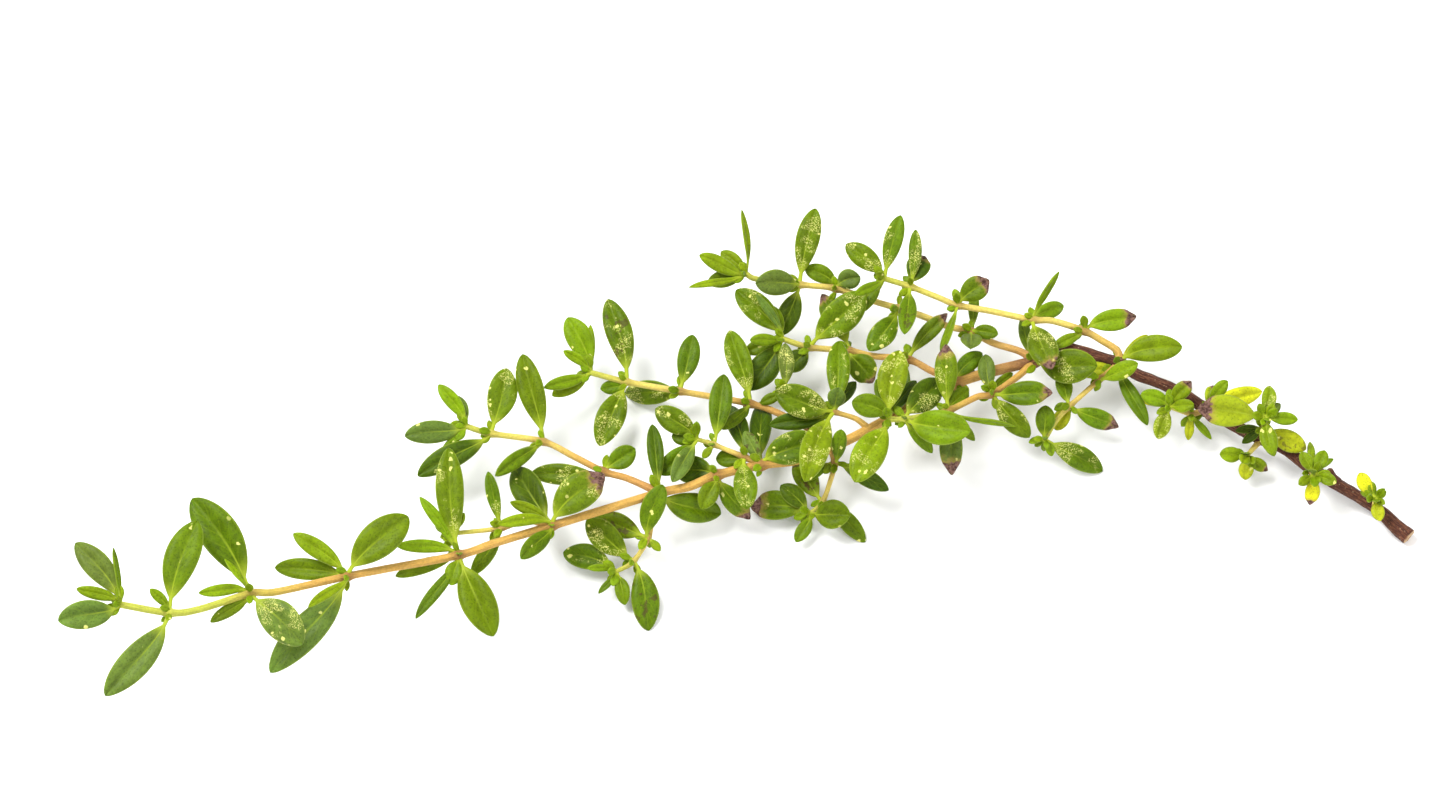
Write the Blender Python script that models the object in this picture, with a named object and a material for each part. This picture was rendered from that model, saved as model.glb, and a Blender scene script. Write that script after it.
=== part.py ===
"""Cut sprig of thyme lying on its side: a woody main stem, its branches and their leaves.

X runs from the growing tip (negative) to the cut end (positive), Y across the sprig and Z up
from the surface it lies on. Lengths in the plan below are millimetres. Opposite leaves are
joined round the stem by a narrow collar, so each pair (or crowded group) of leaves is one solid
that the stem passes through. Short shoots too small to part from their leaves are one solid.
"""

import math

import bmesh
import bpy
from mathutils import Matrix, Vector

MM = 0.001

# Overall sizes of the sprig, and the sizes at which the plan below is drawn.
SPRIG_LENGTH = 165.5
SPRIG_BREADTH = 72.0
SPRIG_HEIGHT = 26.9
PLAN_LENGTH = 165.5
PLAN_BREADTH = 72.0
PLAN_HEIGHT = 26.9

# Stem diameters, from the cut end to the growing tips.
CUT_END_DIAMETER = 1.8
MAIN_WOODY_DIAMETER = 1.4
MAIN_GREEN_DIAMETER = 0.9
MAIN_TIP_DIAMETER = 0.7
BRANCH_BASE_DIAMETER = 0.75
BRANCH_TIP_DIAMETER = 0.6
SHOOT_BASE_DIAMETER = 0.65
SHOOT_TIP_DIAMETER = 0.55

# Leaf sizes.
BLADE_FULLNESS = 1.0
LEAF_THICKNESS = 0.42
PETIOLE_WIDTH = 0.55
BLADE_FOLD = 0.16
LEAST_STAND_OFF = 0.7

# The collar that joins the leaves of one node, and the fits round the stems.
COLLAR_LENGTH = 0.8
COLLAR_WALL = 0.25
STEM_CLEARANCE = 0.2
BRANCH_CLEARANCE = 0.25
TIP_CLEARANCE = 0.2
BUD_LENGTH = 1.3

STEM_SIDES = 8
LIGHT = Vector((0.0, -0.5, 0.87))

# Blade outline: distance along the leaf and half width as a part of the widest half width.
FULL_OUTLINE = ((0.13, 0.0), (0.27, 0.42), (0.43, 0.86), (0.62, 1.0), (0.81, 0.78), (0.94, 0.40))
SMALL_OUTLINE = ((0.16, 0.0), (0.38, 0.72), (0.62, 1.0), (0.88, 0.58))
SMALL_LEAF_LENGTH = 4.2

# Stem courses, from where each starts to its tip. Leaf nodes are among these points.
MAIN_COURSE = [
    (85.0, -19.8, 1.1), (83.6, -18.6, 1.4), (80.9, -16.1, 1.9), (76.8, -13.5, 2.5),
    (73.0, -11.1, 3.0), (69.6, -8.5, 3.4), (67.0, -7.3, 3.6), (63.8, -5.6, 3.8),
    (60.2, -3.3, 4.1), (57.6, -1.5, 4.4), (54.8, -0.2, 4.8), (51.7, 1.0, 5.2),
    (49.4, 2.4, 5.5), (44.9, 3.9, 5.9), (42.8, 4.4, 6.0), (40.8, 3.8, 6.0),
    (38.8, 2.5, 6.0), (33.3, 0.8, 6.2), (29.1, -0.9, 6.4), (24.8, -3.4, 6.6),
    (18.2, -7.8, 6.9), (13.4, -10.5, 7.0), (9.0, -12.3, 7.0), (4.8, -13.0, 7.1),
    (-0.7, -14.6, 7.3), (-4.0, -16.2, 7.4), (-7.7, -17.2, 7.5), (-14.9, -20.1, 8.2),
    (-21.0, -22.7, 9.0), (-27.8, -26.1, 10.8), (-32.3, -28.5, 12.0), (-41.5, -31.8, 14.3),
    (-45.7, -33.4, 15.5), (-54.1, -37.2, 18.5), (-57.3, -38.0, 19.5), (-63.3, -41.3, 21.5),
    (-66.8, -42.3, 22.5), (-72.7, -42.0, 24.0),
]
UPPER_COURSE = [
    (49.4, 2.4, 5.5), (49.2, 3.8, 6.2), (47.4, 4.9, 6.8), (45.0, 6.0, 7.5),
    (41.2, 7.0, 8.2), (38.6, 7.0, 8.5), (33.4, 7.9, 9.1), (29.3, 8.5, 9.5),
    (27.0, 9.4, 9.8), (23.4, 10.8, 10.2), (20.1, 11.5, 11.0),
]
MIDDLE_COURSE = [
    (38.8, 2.5, 6.0), (37.1, 3.7, 6.3), (33.8, 4.6, 6.8), (31.0, 6.0, 7.2),
    (28.0, 6.7, 7.5), (24.8, 8.0, 7.8), (22.0, 8.9, 8.0), (18.8, 9.9, 8.2),
    (14.2, 11.5, 8.5), (9.6, 11.8, 9.0), (4.3, 12.0, 10.0), (2.9, 12.5, 10.5),
]
INNER_COURSE = [
    (29.1, -0.9, 6.4), (25.9, 0.9, 6.4), (23.1, 2.5, 6.4), (18.8, 3.1, 6.2),
    (15.7, 3.9, 6.2), (10.9, 4.2, 6.5), (7.4, 4.9, 7.4),
]
FRONT_COURSE = [
    (38.8, 2.5, 6.0), (36.8, 0.0, 6.6), (33.5, -3.1, 7.5), (31.6, -3.7, 7.8),
    (28.0, -5.9, 8.2), (25.3, -6.8, 8.6), (22.6, -7.6, 9.0), (20.6, -7.8, 9.4),
]
LEFT_COURSE = [
    (13.4, -10.5, 7.0), (11.5, -8.1, 6.6), (7.3, -5.2, 6.0), (3.4, -3.4, 5.6),
    (-5.3, -1.4, 5.2), (-12.0, 0.1, 5.0), (-16.5, 1.2, 5.4),
]
FAR_LEFT_COURSE = [
    (-7.7, -17.2, 7.5), (-11.7, -15.0, 7.2), (-14.7, -13.9, 7.0), (-18.3, -11.7, 6.8),
    (-22.3, -9.5, 6.8), (-28.7, -8.7, 7.4), (-31.8, -8.0, 8.0),
]

# Courses of the short shoots that are one solid with their leaves.
CROSSING_COURSE = [(4.8, -13.0, 7.1), (2.7, -12.3, 7.8), (-1.1, -10.8, 8.3), (-3.2, -10.2, 8.6)]
CENTRE_COURSE = [
    (18.2, -7.8, 6.9), (16.5, -6.7, 7.6), (13.8, -5.9, 8.0), (11.7, -4.4, 7.8), (7.6, -2.6, 7.4),
]
HANGING_COURSE = [
    (13.4, -10.5, 7.0), (13.9, -11.8, 5.5), (13.6, -12.9, 4.5), (12.4, -15.8, 2.8),
    (10.8, -17.4, 2.6),
]
LOW_COURSE = [
    (-7.7, -17.2, 7.5), (-8.6, -20.0, 6.2), (-9.2, -22.0, 4.6), (-11.0, -24.5, 3.2),
    (-13.2, -25.7, 2.7),
]
TWIN_COURSE = [(-21.0, -22.7, 9.0), (-24.3, -22.6, 10.0), (-27.2, -24.0, 10.7), (-33.2, -25.6, 12.2)]
RIGHT_COURSE = [
    (49.4, 2.4, 5.5), (46.9, -0.3, 6.2), (43.2, -3.4, 5.0), (41.5, -5.4, 4.8), (40.0, -8.0, 4.6),
]
BASE_SIDE_COURSE = [(60.2, -3.3, 4.1), (58.3, -4.4, 4.9), (55.6, -3.9, 5.6)]
BASE_UPRIGHT_COURSE = [(67.0, -7.3, 3.6), (67.2, -7.0, 5.6), (67.2, -6.8, 8.0)]
BASE_LOW_COURSE = [(67.0, -7.3, 3.6), (65.9, -8.6, 3.4), (65.1, -9.6, 3.4)]
BASE_FRONT_COURSE = [(73.0, -11.1, 3.0), (73.0, -12.4, 4.4), (73.2, -13.8, 6.0)]
BASE_END_COURSE = [(80.9, -16.1, 1.9), (80.8, -16.2, 3.2), (80.7, -16.4, 4.6)]


class Leaf:
    """One leaf: its reach from the middle of the stem to its tip, and its widest width.

    roll turns the blade about its own length, in degrees; bow lifts the middle of the blade.
    """

    def __init__(self, reach, width, roll=0.0, bow=None):
        self.reach = scaled(reach)
        self.half_width = width * BLADE_FULLNESS / 2
        self.roll = math.radians(roll)
        self.bow = 0.07 * self.reach.length if bow is None else bow


def scaled(point):
    """A plan point at the driving sizes."""
    return Vector((
        point[0] * SPRIG_LENGTH / PLAN_LENGTH,
        point[1] * SPRIG_BREADTH / PLAN_BREADTH,
        point[2] * SPRIG_HEIGHT / PLAN_HEIGHT,
    ))


class Stem:
    """A smooth round stem through its course points, tapering between the diameters given."""

    STEP = 0.15

    def __init__(self, course, diameters):
        self.points = [scaled(point) for point in course]
        self.line = []
        self.node_places = [0]
        for index in range(len(self.points) - 1):
            steps = max(2, round((self.points[index + 1] - self.points[index]).length / self.STEP))
            self.line += [self.between(index, step / steps) for step in range(steps)]
            self.node_places.append(len(self.line))
        self.line.append(self.points[-1])
        self.diameters = diameters
        self.bud_place = len(self.line) - 1 - round((BUD_LENGTH / 2 + TIP_CLEARANCE) / self.STEP)

    def between(self, index, part):
        """A point on the smooth curve, a part of the way from one course point to the next."""
        here = self.points[index]
        there = self.points[index + 1]
        before = self.points[index - 1] if index > 0 else 2 * here - there
        beyond = self.points[index + 2] if index + 2 < len(self.points) else 2 * there - here
        square = part * part
        cube = square * part
        return 0.5 * (
            2 * here
            + (there - before) * part
            + (2 * before - 5 * here + 4 * there - beyond) * square
            + (3 * here - before - 3 * there + beyond) * cube
        )

    def radius(self, place):
        """The stem's radius at a place, from its list of (part of the length, diameter)."""
        part = place / (len(self.line) - 1)
        for (start, first), (end, second) in zip(self.diameters, self.diameters[1:]):
            if part <= end:
                return (first + (second - first) * (part - start) / (end - start)) / 2
        return self.diameters[-1][1] / 2

    def heading(self, place):
        """The direction of growth at a place on the line."""
        low = max(place - 2, 0)
        high = min(place + 2, len(self.line) - 1)
        return (self.line[high] - self.line[low]).normalized()


def across(heading):
    """Two directions square to the heading and to each other."""
    side = heading.cross(LIGHT).normalized()
    return side, heading.cross(side)


def ring(centre, heading, radius, sides=STEM_SIDES):
    """Corners of a ring square to the heading, numbered anticlockwise seen from its far end."""
    side, front = across(heading)
    turns = [2 * math.pi * (corner + 0.5) / sides for corner in range(sides)]
    return [centre + radius * (math.cos(turn) * side + math.sin(turn) * front) for turn in turns]


def collar_radius(stem, place):
    """Outer radius of a collar that clears the stem at this place."""
    inner = (stem.radius(place) + STEM_CLEARANCE) / math.cos(math.pi / STEM_SIDES)
    return inner + COLLAR_WALL


def clear_of_parent(point, parent, node_place, has_collar):
    """Whether a point stands off the parent stem, and off the collar round its node."""
    reach = round(14 / Stem.STEP)
    low = max(node_place - reach, 0)
    high = min(node_place + reach, len(parent.line))
    for place in range(low, high):
        needed = parent.radius(place) + BRANCH_CLEARANCE
        if has_collar:
            away = (parent.line[place] - parent.line[node_place]).length
            if away < COLLAR_LENGTH / 2 + BRANCH_CLEARANCE:
                needed = collar_radius(parent, node_place) + BRANCH_CLEARANCE
        if (point - parent.line[place]).length < needed:
            return False
    return True


class Body:
    """Corners and faces of one solid, with the faces on which leaves can stand."""

    def __init__(self, name, colour, roughness):
        self.name = name
        self.colour = colour
        self.roughness = roughness
        self.corners = []
        self.faces = []
        self.seats = []

    def add_ring(self, corners):
        first = len(self.corners)
        self.corners += corners
        return list(range(first, first + len(corners)))

    def wall(self, low, high, is_seat=False):
        """Joins two rings with four-sided faces, which may be kept as seats for leaves."""
        count = len(low)
        for corner in range(count):
            following = (corner + 1) % count
            face = (low[corner], low[following], high[following], high[corner])
            if is_seat:
                self.seats.append(face)
            else:
                self.faces.append(face)

    def close(self, loop):
        self.faces.append(tuple(loop))

    def middle(self, face):
        return sum((self.corners[index] for index in face), Vector()) / len(face)

    def facing(self, face):
        first, second, third, fourth = (self.corners[index] for index in face)
        return (third - first).cross(fourth - second).normalized()

    def grow_leaf(self, leaf, centre, heading):
        """Draws one leaf out of the free seat that best faces the way the leaf reaches."""
        outward = leaf.reach - leaf.reach.dot(heading) * heading
        outward = outward.normalized() if outward.length > 0.3 else LIGHT
        tip = centre + leaf.reach
        seat = max(self.seats, key=lambda face: self.seat_merit(face, outward, centre, leaf))
        self.seats.remove(seat)
        start = self.middle(seat)
        path = leaf_path(start, self.facing(seat), tip, leaf.bow)
        length = (tip - start).length
        outline = FULL_OUTLINE if length > SMALL_LEAF_LENGTH else SMALL_OUTLINE
        last = list(seat)
        for part, fullness in outline:
            section = self.add_ring(leaf_section(leaf, path, part, fullness))
            section = self.least_twist(last, section)
            self.wall(last, section)
            last = section
        end = self.add_ring([path(1.0)])[0]
        for corner in range(4):
            self.faces.append((last[corner], last[(corner + 1) % 4], end))

    def seat_merit(self, face, outward, centre, leaf):
        lift = (self.middle(face) - centre).dot(leaf.reach.normalized())
        return self.facing(face).dot(outward) + 0.15 * lift

    def least_twist(self, last, section):
        """The section's corners, started from the one that turns least from the last section."""

        def travel(turned):
            return sum(
                (self.corners[a] - self.corners[b]).length for a, b in zip(last, turned, strict=True)
            )

        return min((section[turn:] + section[:turn] for turn in range(4)), key=travel)

    def finish(self):
        for seat in self.seats:
            self.faces.append(seat)
        self.seats = []


def leaf_path(start, outward, tip, bow):
    """The line of a leaf: out from its seat, then over to its tip."""
    span = tip - start
    lift = Vector((0.0, 0.0, bow))
    stand_off = max(0.14 * span.length, LEAST_STAND_OFF)
    first = start + stand_off * outward + 0.16 * span + 0.5 * lift
    second = start + 0.62 * span + lift

    def path(part):
        rest = 1 - part
        return (
            rest**3 * start
            + 3 * rest * rest * part * first
            + 3 * rest * part * part * second
            + part**3 * tip
        )

    return path


def leaf_section(leaf, path, part, fullness):
    """Four corners of a leaf across its length: right edge, upper rib, left edge, lower rib."""
    centre = path(part)
    along = (path(min(part + 0.03, 1.0)) - path(part - 0.03)).normalized()
    upper = LIGHT - LIGHT.dot(along) * along
    if upper.length < 0.3:
        upper = Vector((0.0, 0.87, 0.5))
        upper -= upper.dot(along) * along
    upper = Matrix.Rotation(leaf.roll, 3, along) @ upper.normalized()
    side = upper.cross(along)
    half = max(leaf.half_width * fullness, PETIOLE_WIDTH / 2)
    edge_lift = BLADE_FOLD * half if fullness > 0 else 0.0
    thickness = LEAF_THICKNESS * (0.75 if fullness > 0 and part > 0.9 else 1.0)
    return [
        centre + half * side + edge_lift * upper,
        centre + thickness / 2 * upper,
        centre - half * side + edge_lift * upper,
        centre - thickness / 2 * upper,
    ]


BODIES = []
LEAF_GREEN = (0.22, 0.42, 0.06)
TIP_GREEN = (0.34, 0.55, 0.10)
OLD_LEAF_GREEN = (0.48, 0.56, 0.05)
STEM_TAN = (0.60, 0.38, 0.14)
STEM_YELLOW = (0.72, 0.68, 0.18)
BARK_BROWN = (0.16, 0.07, 0.03)


def stem_body(name, stem, colour, parent=None, parent_node=0, parent_collar=True):
    """A stem closed at both ends, from just off its parent's surface to just short of its bud."""
    body = Body(name, colour, 0.6)
    starts = [0] * STEM_SIDES
    if parent is not None:
        node_place = parent.node_places[parent_node]
        for corner in range(STEM_SIDES):
            place = min(round(14 / Stem.STEP), stem.bud_place - 4)
            while place > 0:
                rim = ring(stem.line[place], stem.heading(place), stem.radius(place))[corner]
                if not clear_of_parent(rim, parent, node_place, parent_collar):
                    break
                place -= 1
            starts[corner] = place + 1
    rings = []
    furthest = max(starts)
    places = [place for place in stem_stations(stem) if furthest + 3 < place < stem.bud_place - 3]
    places.append(stem.bud_place)
    rings.append([
        ring(stem.line[start], stem.heading(start), stem.radius(start))[corner]
        for corner, start in enumerate(starts)
    ])
    for place in places:
        rings.append(ring(stem.line[place], stem.heading(place), stem.radius(place)))
    loops = [body.add_ring(corners) for corners in rings]
    body.close(reversed(loops[0]))
    for low, high in zip(loops, loops[1:]):
        body.wall(low, high)
    body.close(loops[-1])
    BODIES.append(body)


def stem_stations(stem):
    """Places for rings: each course point, with one or two between when they stand apart."""
    places = []
    for low, high in zip(stem.node_places, stem.node_places[1:]):
        pieces = max(1, round((high - low) * Stem.STEP / 2.4))
        places += [low + (high - low) * piece // pieces for piece in range(pieces)]
    return places + [len(stem.line) - 1]


def whorl(name, stem, node, leaves, levels=1, colour=LEAF_GREEN):
    """A collar round the stem at a node, with its leaves."""
    body = Body(name, colour, 0.5)
    place = stem.node_places[node]
    centre = stem.line[place]
    heading = stem.heading(place)
    outer = collar_radius(stem, place)
    inner = outer - COLLAR_WALL
    heights = [COLLAR_LENGTH * (level - levels / 2) for level in range(levels + 1)]
    outside = [body.add_ring(ring(centre + height * heading, heading, outer)) for height in heights]
    ends = (heights[0], heights[-1])
    inside = [body.add_ring(ring(centre + height * heading, heading, inner)) for height in ends]
    for low, high in zip(outside, outside[1:]):
        body.wall(low, high, is_seat=True)
    body.wall(inside[1], inside[0])
    body.wall(inside[0], outside[0])
    body.wall(outside[-1], inside[1])
    for leaf in leaves:
        body.grow_leaf(leaf, centre, heading)
    body.finish()
    BODIES.append(body)


def tip_cluster(name, stem, leaves, colour=TIP_GREEN):
    """The growing tip just beyond a stem's end: a closed bud with its crowded leaves."""
    body = Body(name, colour, 0.5)
    heading = stem.heading(stem.bud_place)
    base = stem.line[stem.bud_place] + TIP_CLEARANCE * heading
    radius = stem.radius(stem.bud_place)
    loops = [
        body.add_ring(ring(base + BUD_LENGTH * part * heading, heading, radius * size))
        for part, size in ((0.0, 0.9), (0.5, 1.15), (1.0, 0.85))
    ]
    body.close(reversed(loops[0]))
    body.wall(loops[0], loops[1], is_seat=True)
    body.wall(loops[1], loops[2], is_seat=True)
    body.close(loops[2])
    centre = base + BUD_LENGTH / 2 * heading
    for leaf in leaves:
        body.grow_leaf(leaf, centre, heading)
    body.finish()
    BODIES.append(body)


def short_shoot(name, stem, bands, parent, parent_node, parent_collar=True, colour=TIP_GREEN):
    """A short shoot and all its leaves as one solid; bands holds (course point, leaves)."""
    body = Body(name, colour, 0.5)
    last_place = len(stem.line) - 1
    node_place = parent.node_places[parent_node]
    start = 0
    for place in range(min(round(8 / Stem.STEP), last_place - 8), 0, -1):
        rims = ring(stem.line[place], stem.heading(place), stem.radius(place))
        if not all(clear_of_parent(rim, parent, node_place, parent_collar) for rim in rims):
            start = place + 1
            break
    half_band = round(COLLAR_LENGTH / 2 / Stem.STEP)
    places = {}
    for node, _ in bands:
        middle = min(stem.node_places[node], last_place - half_band)
        if node == len(stem.points) - 1:
            places[middle - 2 * half_band - 1] = True
            places[middle] = True
            places.setdefault(last_place, False)
        else:
            places[max(middle - half_band, start + 1)] = True
            places.setdefault(middle + half_band, False)
    marks = sorted(places)
    fill = [
        place
        for place in stem_stations(stem)
        if start + 4 < place and all(abs(place - mark) > 6 for mark in marks)
    ]
    stations = sorted({start, last_place, *marks, *fill})
    rings = [ring(stem.line[place], stem.heading(place), stem.radius(place)) for place in stations]
    loops = [body.add_ring(corners) for corners in rings]
    body.close(reversed(loops[0]))
    for low, high, place in zip(loops, loops[1:], stations):
        body.wall(low, high, is_seat=places.get(place, False))
    body.close(loops[-1])
    for node, leaves in bands:
        middle = min(stem.node_places[node], last_place - half_band)
        for leaf in leaves:
            near = [seat for seat in body.seats if (body.middle(seat) - stem.line[middle]).length < 1.6]
            others = [seat for seat in body.seats if seat not in near]
            body.seats = near
            body.grow_leaf(leaf, stem.line[middle], stem.heading(middle))
            body.seats += others
    body.finish()
    BODIES.append(body)


MAIN_TAPER = (
    (0.0, CUT_END_DIAMETER), (0.03, MAIN_WOODY_DIAMETER), (0.24, MAIN_WOODY_DIAMETER),
    (0.34, (MAIN_WOODY_DIAMETER + MAIN_GREEN_DIAMETER) / 2), (0.62, MAIN_GREEN_DIAMETER),
    (1.0, MAIN_TIP_DIAMETER),
)
BRANCH_TAPER = ((0.0, BRANCH_BASE_DIAMETER), (1.0, BRANCH_TIP_DIAMETER))
SHOOT_TAPER = ((0.0, SHOOT_BASE_DIAMETER), (1.0, SHOOT_TIP_DIAMETER))

main = Stem(MAIN_COURSE, MAIN_TAPER)
upper = Stem(UPPER_COURSE, BRANCH_TAPER)
middle = Stem(MIDDLE_COURSE, BRANCH_TAPER)
inner = Stem(INNER_COURSE, BRANCH_TAPER)
front = Stem(FRONT_COURSE, BRANCH_TAPER)
left = Stem(LEFT_COURSE, BRANCH_TAPER)
far_left = Stem(FAR_LEFT_COURSE, BRANCH_TAPER)

stem_body("main_stem", main, BARK_BROWN)
stem_body("upper_branch", upper, STEM_YELLOW, main, 12)
stem_body("middle_branch", middle, STEM_TAN, main, 16)
stem_body("inner_branch", inner, STEM_TAN, main, 18)
stem_body("front_branch", front, STEM_TAN, main, 16)
stem_body("left_branch", left, STEM_TAN, main, 21, parent_collar=False)
stem_body("far_left_branch", far_left, STEM_TAN, main, 26)

# Leaves of the main stem, from the growing tip to the woody base.
tip_cluster("main_tip_leaves", main, [
    Leaf((-5.5, 7.4, 2.0), 3.2),
    Leaf((-7.3, -2.8, 1.0), 3.4),
    Leaf((-5.2, 1.2, 1.8), 1.5),
    Leaf((-0.8, 6.2, 3.0), 1.2, roll=60),
])
whorl("main_leaves_01", main, 36, [
    Leaf((3.3, 10.5, 4.0), 4.1),
    Leaf((-7.6, -9.8, -3.0), 3.7),
    Leaf((-2.3, 2.2, 2.0), 1.2),
])
whorl("main_leaves_02", main, 34, [
    Leaf((-7.1, 11.0, 4.0), 4.8),
    Leaf((6.4, -6.0, -2.0), 4.4),
    Leaf((-3.0, 3.1, 3.0), 1.2, roll=60),
    Leaf((-6.1, -1.3, 2.5), 1.4),
    Leaf((-4.7, -4.0, 0.0), 1.5),
])
whorl("main_leaves_03", main, 32, [
    Leaf((-9.3, -11.2, -4.0), 4.0),
    Leaf((7.4, 6.7, 3.0), 4.4),
    Leaf((-6.6, 4.3, 3.0), 2.2),
    Leaf((-9.0, 2.6, -2.5), 2.6),
    Leaf((-4.6, -5.4, 2.0), 1.2),
])
whorl("main_leaves_04", main, 30, [
    Leaf((-1.3, 12.3, 5.0), 3.4),
    Leaf((4.3, -9.7, -3.0), 4.2),
    Leaf((-0.9, -3.7, -1.0), 2.2),
    Leaf((-4.8, 6.5, 3.0), 1.4),
    Leaf((-7.6, 0.2, 2.0), 1.6),
    Leaf((-7.8, -1.6, -2.5), 1.8),
    Leaf((-5.2, -7.8, -2.0), 1.5),
], levels=2)
whorl("main_leaves_05", main, 28, [
    Leaf((6.5, 5.6, 3.0), 4.4),
    Leaf((-4.7, 8.9, -1.2), 3.8),
    Leaf((-5.1, 1.7, 3.0), 1.4),
    Leaf((-6.6, -1.7, 3.5), 1.5),
    Leaf((-3.7, -5.8, 2.0), 2.2),
], levels=2)
whorl("main_leaves_06", main, 26, [
    Leaf((-1.0, 8.6, 2.0), 2.0),
    Leaf((7.5, -0.2, -5.0), 3.6),
])
whorl("main_leaves_07", main, 24, [
    Leaf((-5.2, 1.8, -2.0), 3.4),
    Leaf((-1.9, -4.1, -1.2), 2.4),
    Leaf((4.1, -4.0, -4.0), 2.6),
])
whorl("main_leaves_08", main, 23, [
    Leaf((7.1, 2.8, 1.5), 4.0),
    Leaf((0.2, 11.3, -3.6), 2.7),
    Leaf((-2.1, 4.2, 1.0), 1.8),
])
whorl("main_leaves_09", main, 18, [
    Leaf((3.2, 3.8, 1.0), 2.2),
    Leaf((2.5, 2.8, -2.0), 1.6),
    Leaf((1.5, -0.7, -1.5), 1.2),
])
whorl("main_leaves_10", main, 16, [
    Leaf((7.7, -2.8, 3.5), 4.3),
    Leaf((-1.4, 6.9, -1.0), 1.5),
])
whorl("main_leaves_11", main, 12, [
    Leaf((7.8, 0.7, 3.0), 3.3),
    Leaf((-5.3, -0.8, -1.0), 2.0),
    Leaf((3.6, 3.6, 1.0), 1.2),
    Leaf((3.4, -8.4, -0.8), 1.9),
], colour=OLD_LEAF_GREEN)
whorl("main_leaves_12", main, 8, [
    Leaf((7.1, 3.1, -1.0), 2.4),
    Leaf((2.6, 2.3, 3.0), 1.6),
    Leaf((1.0, 3.6, -0.4), 1.6),
], colour=OLD_LEAF_GREEN)

# Leaves of the upper branch, from its base to its tip.
whorl("upper_leaves_1", upper, 3, [
    Leaf((6.6, 1.5, 1.0), 2.7),
    Leaf((-3.8, -2.2, -0.4), 1.4),
])
whorl("upper_leaves_2", upper, 5, [
    Leaf((3.3, 4.6, 4.0), 1.4, roll=50),
    Leaf((2.3, -7.7, 1.0), 3.6),
    Leaf((4.0, 2.9, -1.5), 2.0),
])
whorl("upper_leaves_3", upper, 7, [
    Leaf((3.9, 2.5, 2.0), 3.0),
    Leaf((-2.2, -7.5, 1.0), 1.4, roll=50),
])
whorl("upper_leaves_4", upper, 9, [
    Leaf((-0.8, -7.5, 1.0), 2.2),
    Leaf((0.7, 6.5, 3.0), 1.6),
    Leaf((1.9, 4.4, 0.0), 2.9),
])
tip_cluster("upper_tip_leaves", upper, [
    Leaf((-4.7, 4.4, 1.0), 2.7),
    Leaf((2.1, 6.8, 4.0), 2.3),
    Leaf((-3.7, -3.9, 2.5), 1.3),
    Leaf((-4.2, -3.8, -2.5), 2.5),
])

# Leaves of the middle branch.
whorl("middle_leaves_1", middle, 3, [
    Leaf((0.6, 6.7, -1.5), 1.3),
    Leaf((-0.2, -3.9, 2.5), 2.6),
    Leaf((3.3, -1.2, 1.5), 1.8),
])
whorl("middle_leaves_2", middle, 6, [
    Leaf((-3.8, -5.8, -0.5), 3.0),
])
whorl("middle_leaves_3", middle, 8, [
    Leaf((-3.9, 2.6, 0.8), 2.2),
    Leaf((3.0, 0.8, 1.5), 2.5),
])
whorl("middle_leaves_4", middle, 9, [
    Leaf((2.0, 8.1, 5.0), 2.9),
    Leaf((-2.5, -5.3, -3.7), 2.8),
    Leaf((-5.5, -1.9, 3.5), 3.2),
])
tip_cluster("middle_tip_leaves", middle, [
    Leaf((-0.5, 6.3, 5.0), 1.4, roll=60),
    Leaf((-5.8, 1.2, 2.5), 1.9),
    Leaf((-3.1, 3.2, 0.0), 1.8),
    Leaf((-7.1, -2.9, 1.5), 0.9),
    Leaf((-4.8, -0.8, -1.0), 2.1),
])

# Leaves of the inner branch.
whorl("inner_leaves_1", inner, 2, [
    Leaf((4.9, 5.2, 2.5), 2.0),
    Leaf((-0.7, -5.8, -2.0), 1.7),
])
whorl("inner_leaves_2", inner, 4, [
    Leaf((-3.3, 7.6, 1.0), 2.9),
    Leaf((3.0, -4.0, -1.2), 3.4),
])
whorl("inner_leaves_3", inner, 5, [
    Leaf((6.9, 5.2, 4.5), 4.2),
    Leaf((-2.8, -2.6, -1.5), 2.6),
])
tip_cluster("inner_tip_leaves", inner, [
    Leaf((-5.7, 5.9, 2.0), 3.3),
    Leaf((-3.2, 4.1, 4.0), 1.0),
    Leaf((-1.6, 4.8, 0.0), 2.0),
    Leaf((-4.0, -1.4, 2.0), 1.5),
    Leaf((-4.6, -1.4, -1.0), 2.0),
    Leaf((-4.3, -5.8, -2.8), 3.6),
])

# Leaves of the front branch.
whorl("front_leaves_1", front, 2, [
    Leaf((7.4, -1.0, 2.0), 3.0),
    Leaf((-0.8, 5.1, 1.0), 2.1),
    Leaf((4.6, -5.1, -2.0), 2.8),
    Leaf((2.6, 3.9, -1.5), 1.2),
    Leaf((0.0, 0.5, 2.5), 1.0),
])
whorl("front_leaves_2", front, 4, [
    Leaf((-0.3, 7.5, 3.5), 2.8),
    Leaf((8.3, -1.4, -1.5), 1.3, roll=60),
    Leaf((0.4, -7.5, -3.0), 2.8),
    Leaf((3.3, -2.6, -3.0), 1.3),
    Leaf((2.5, 3.7, -1.0), 2.0),
])
whorl("front_leaves_3", front, 6, [
    Leaf((8.0, -3.2, 2.5), 4.3),
    Leaf((4.4, 6.2, -1.0), 3.6),
    Leaf((3.4, -3.1, -3.0), 1.6),
])
tip_cluster("front_tip_leaves", front, [
    Leaf((1.3, 8.1, 3.0), 3.6),
    Leaf((-4.6, 1.4, 2.0), 2.9),
    Leaf((-4.3, -9.0, 0.0), 4.0),
    Leaf((3.5, 7.2, -3.0), 1.8),
    Leaf((-1.5, 5.7, 0.0), 1.5),
])

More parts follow.
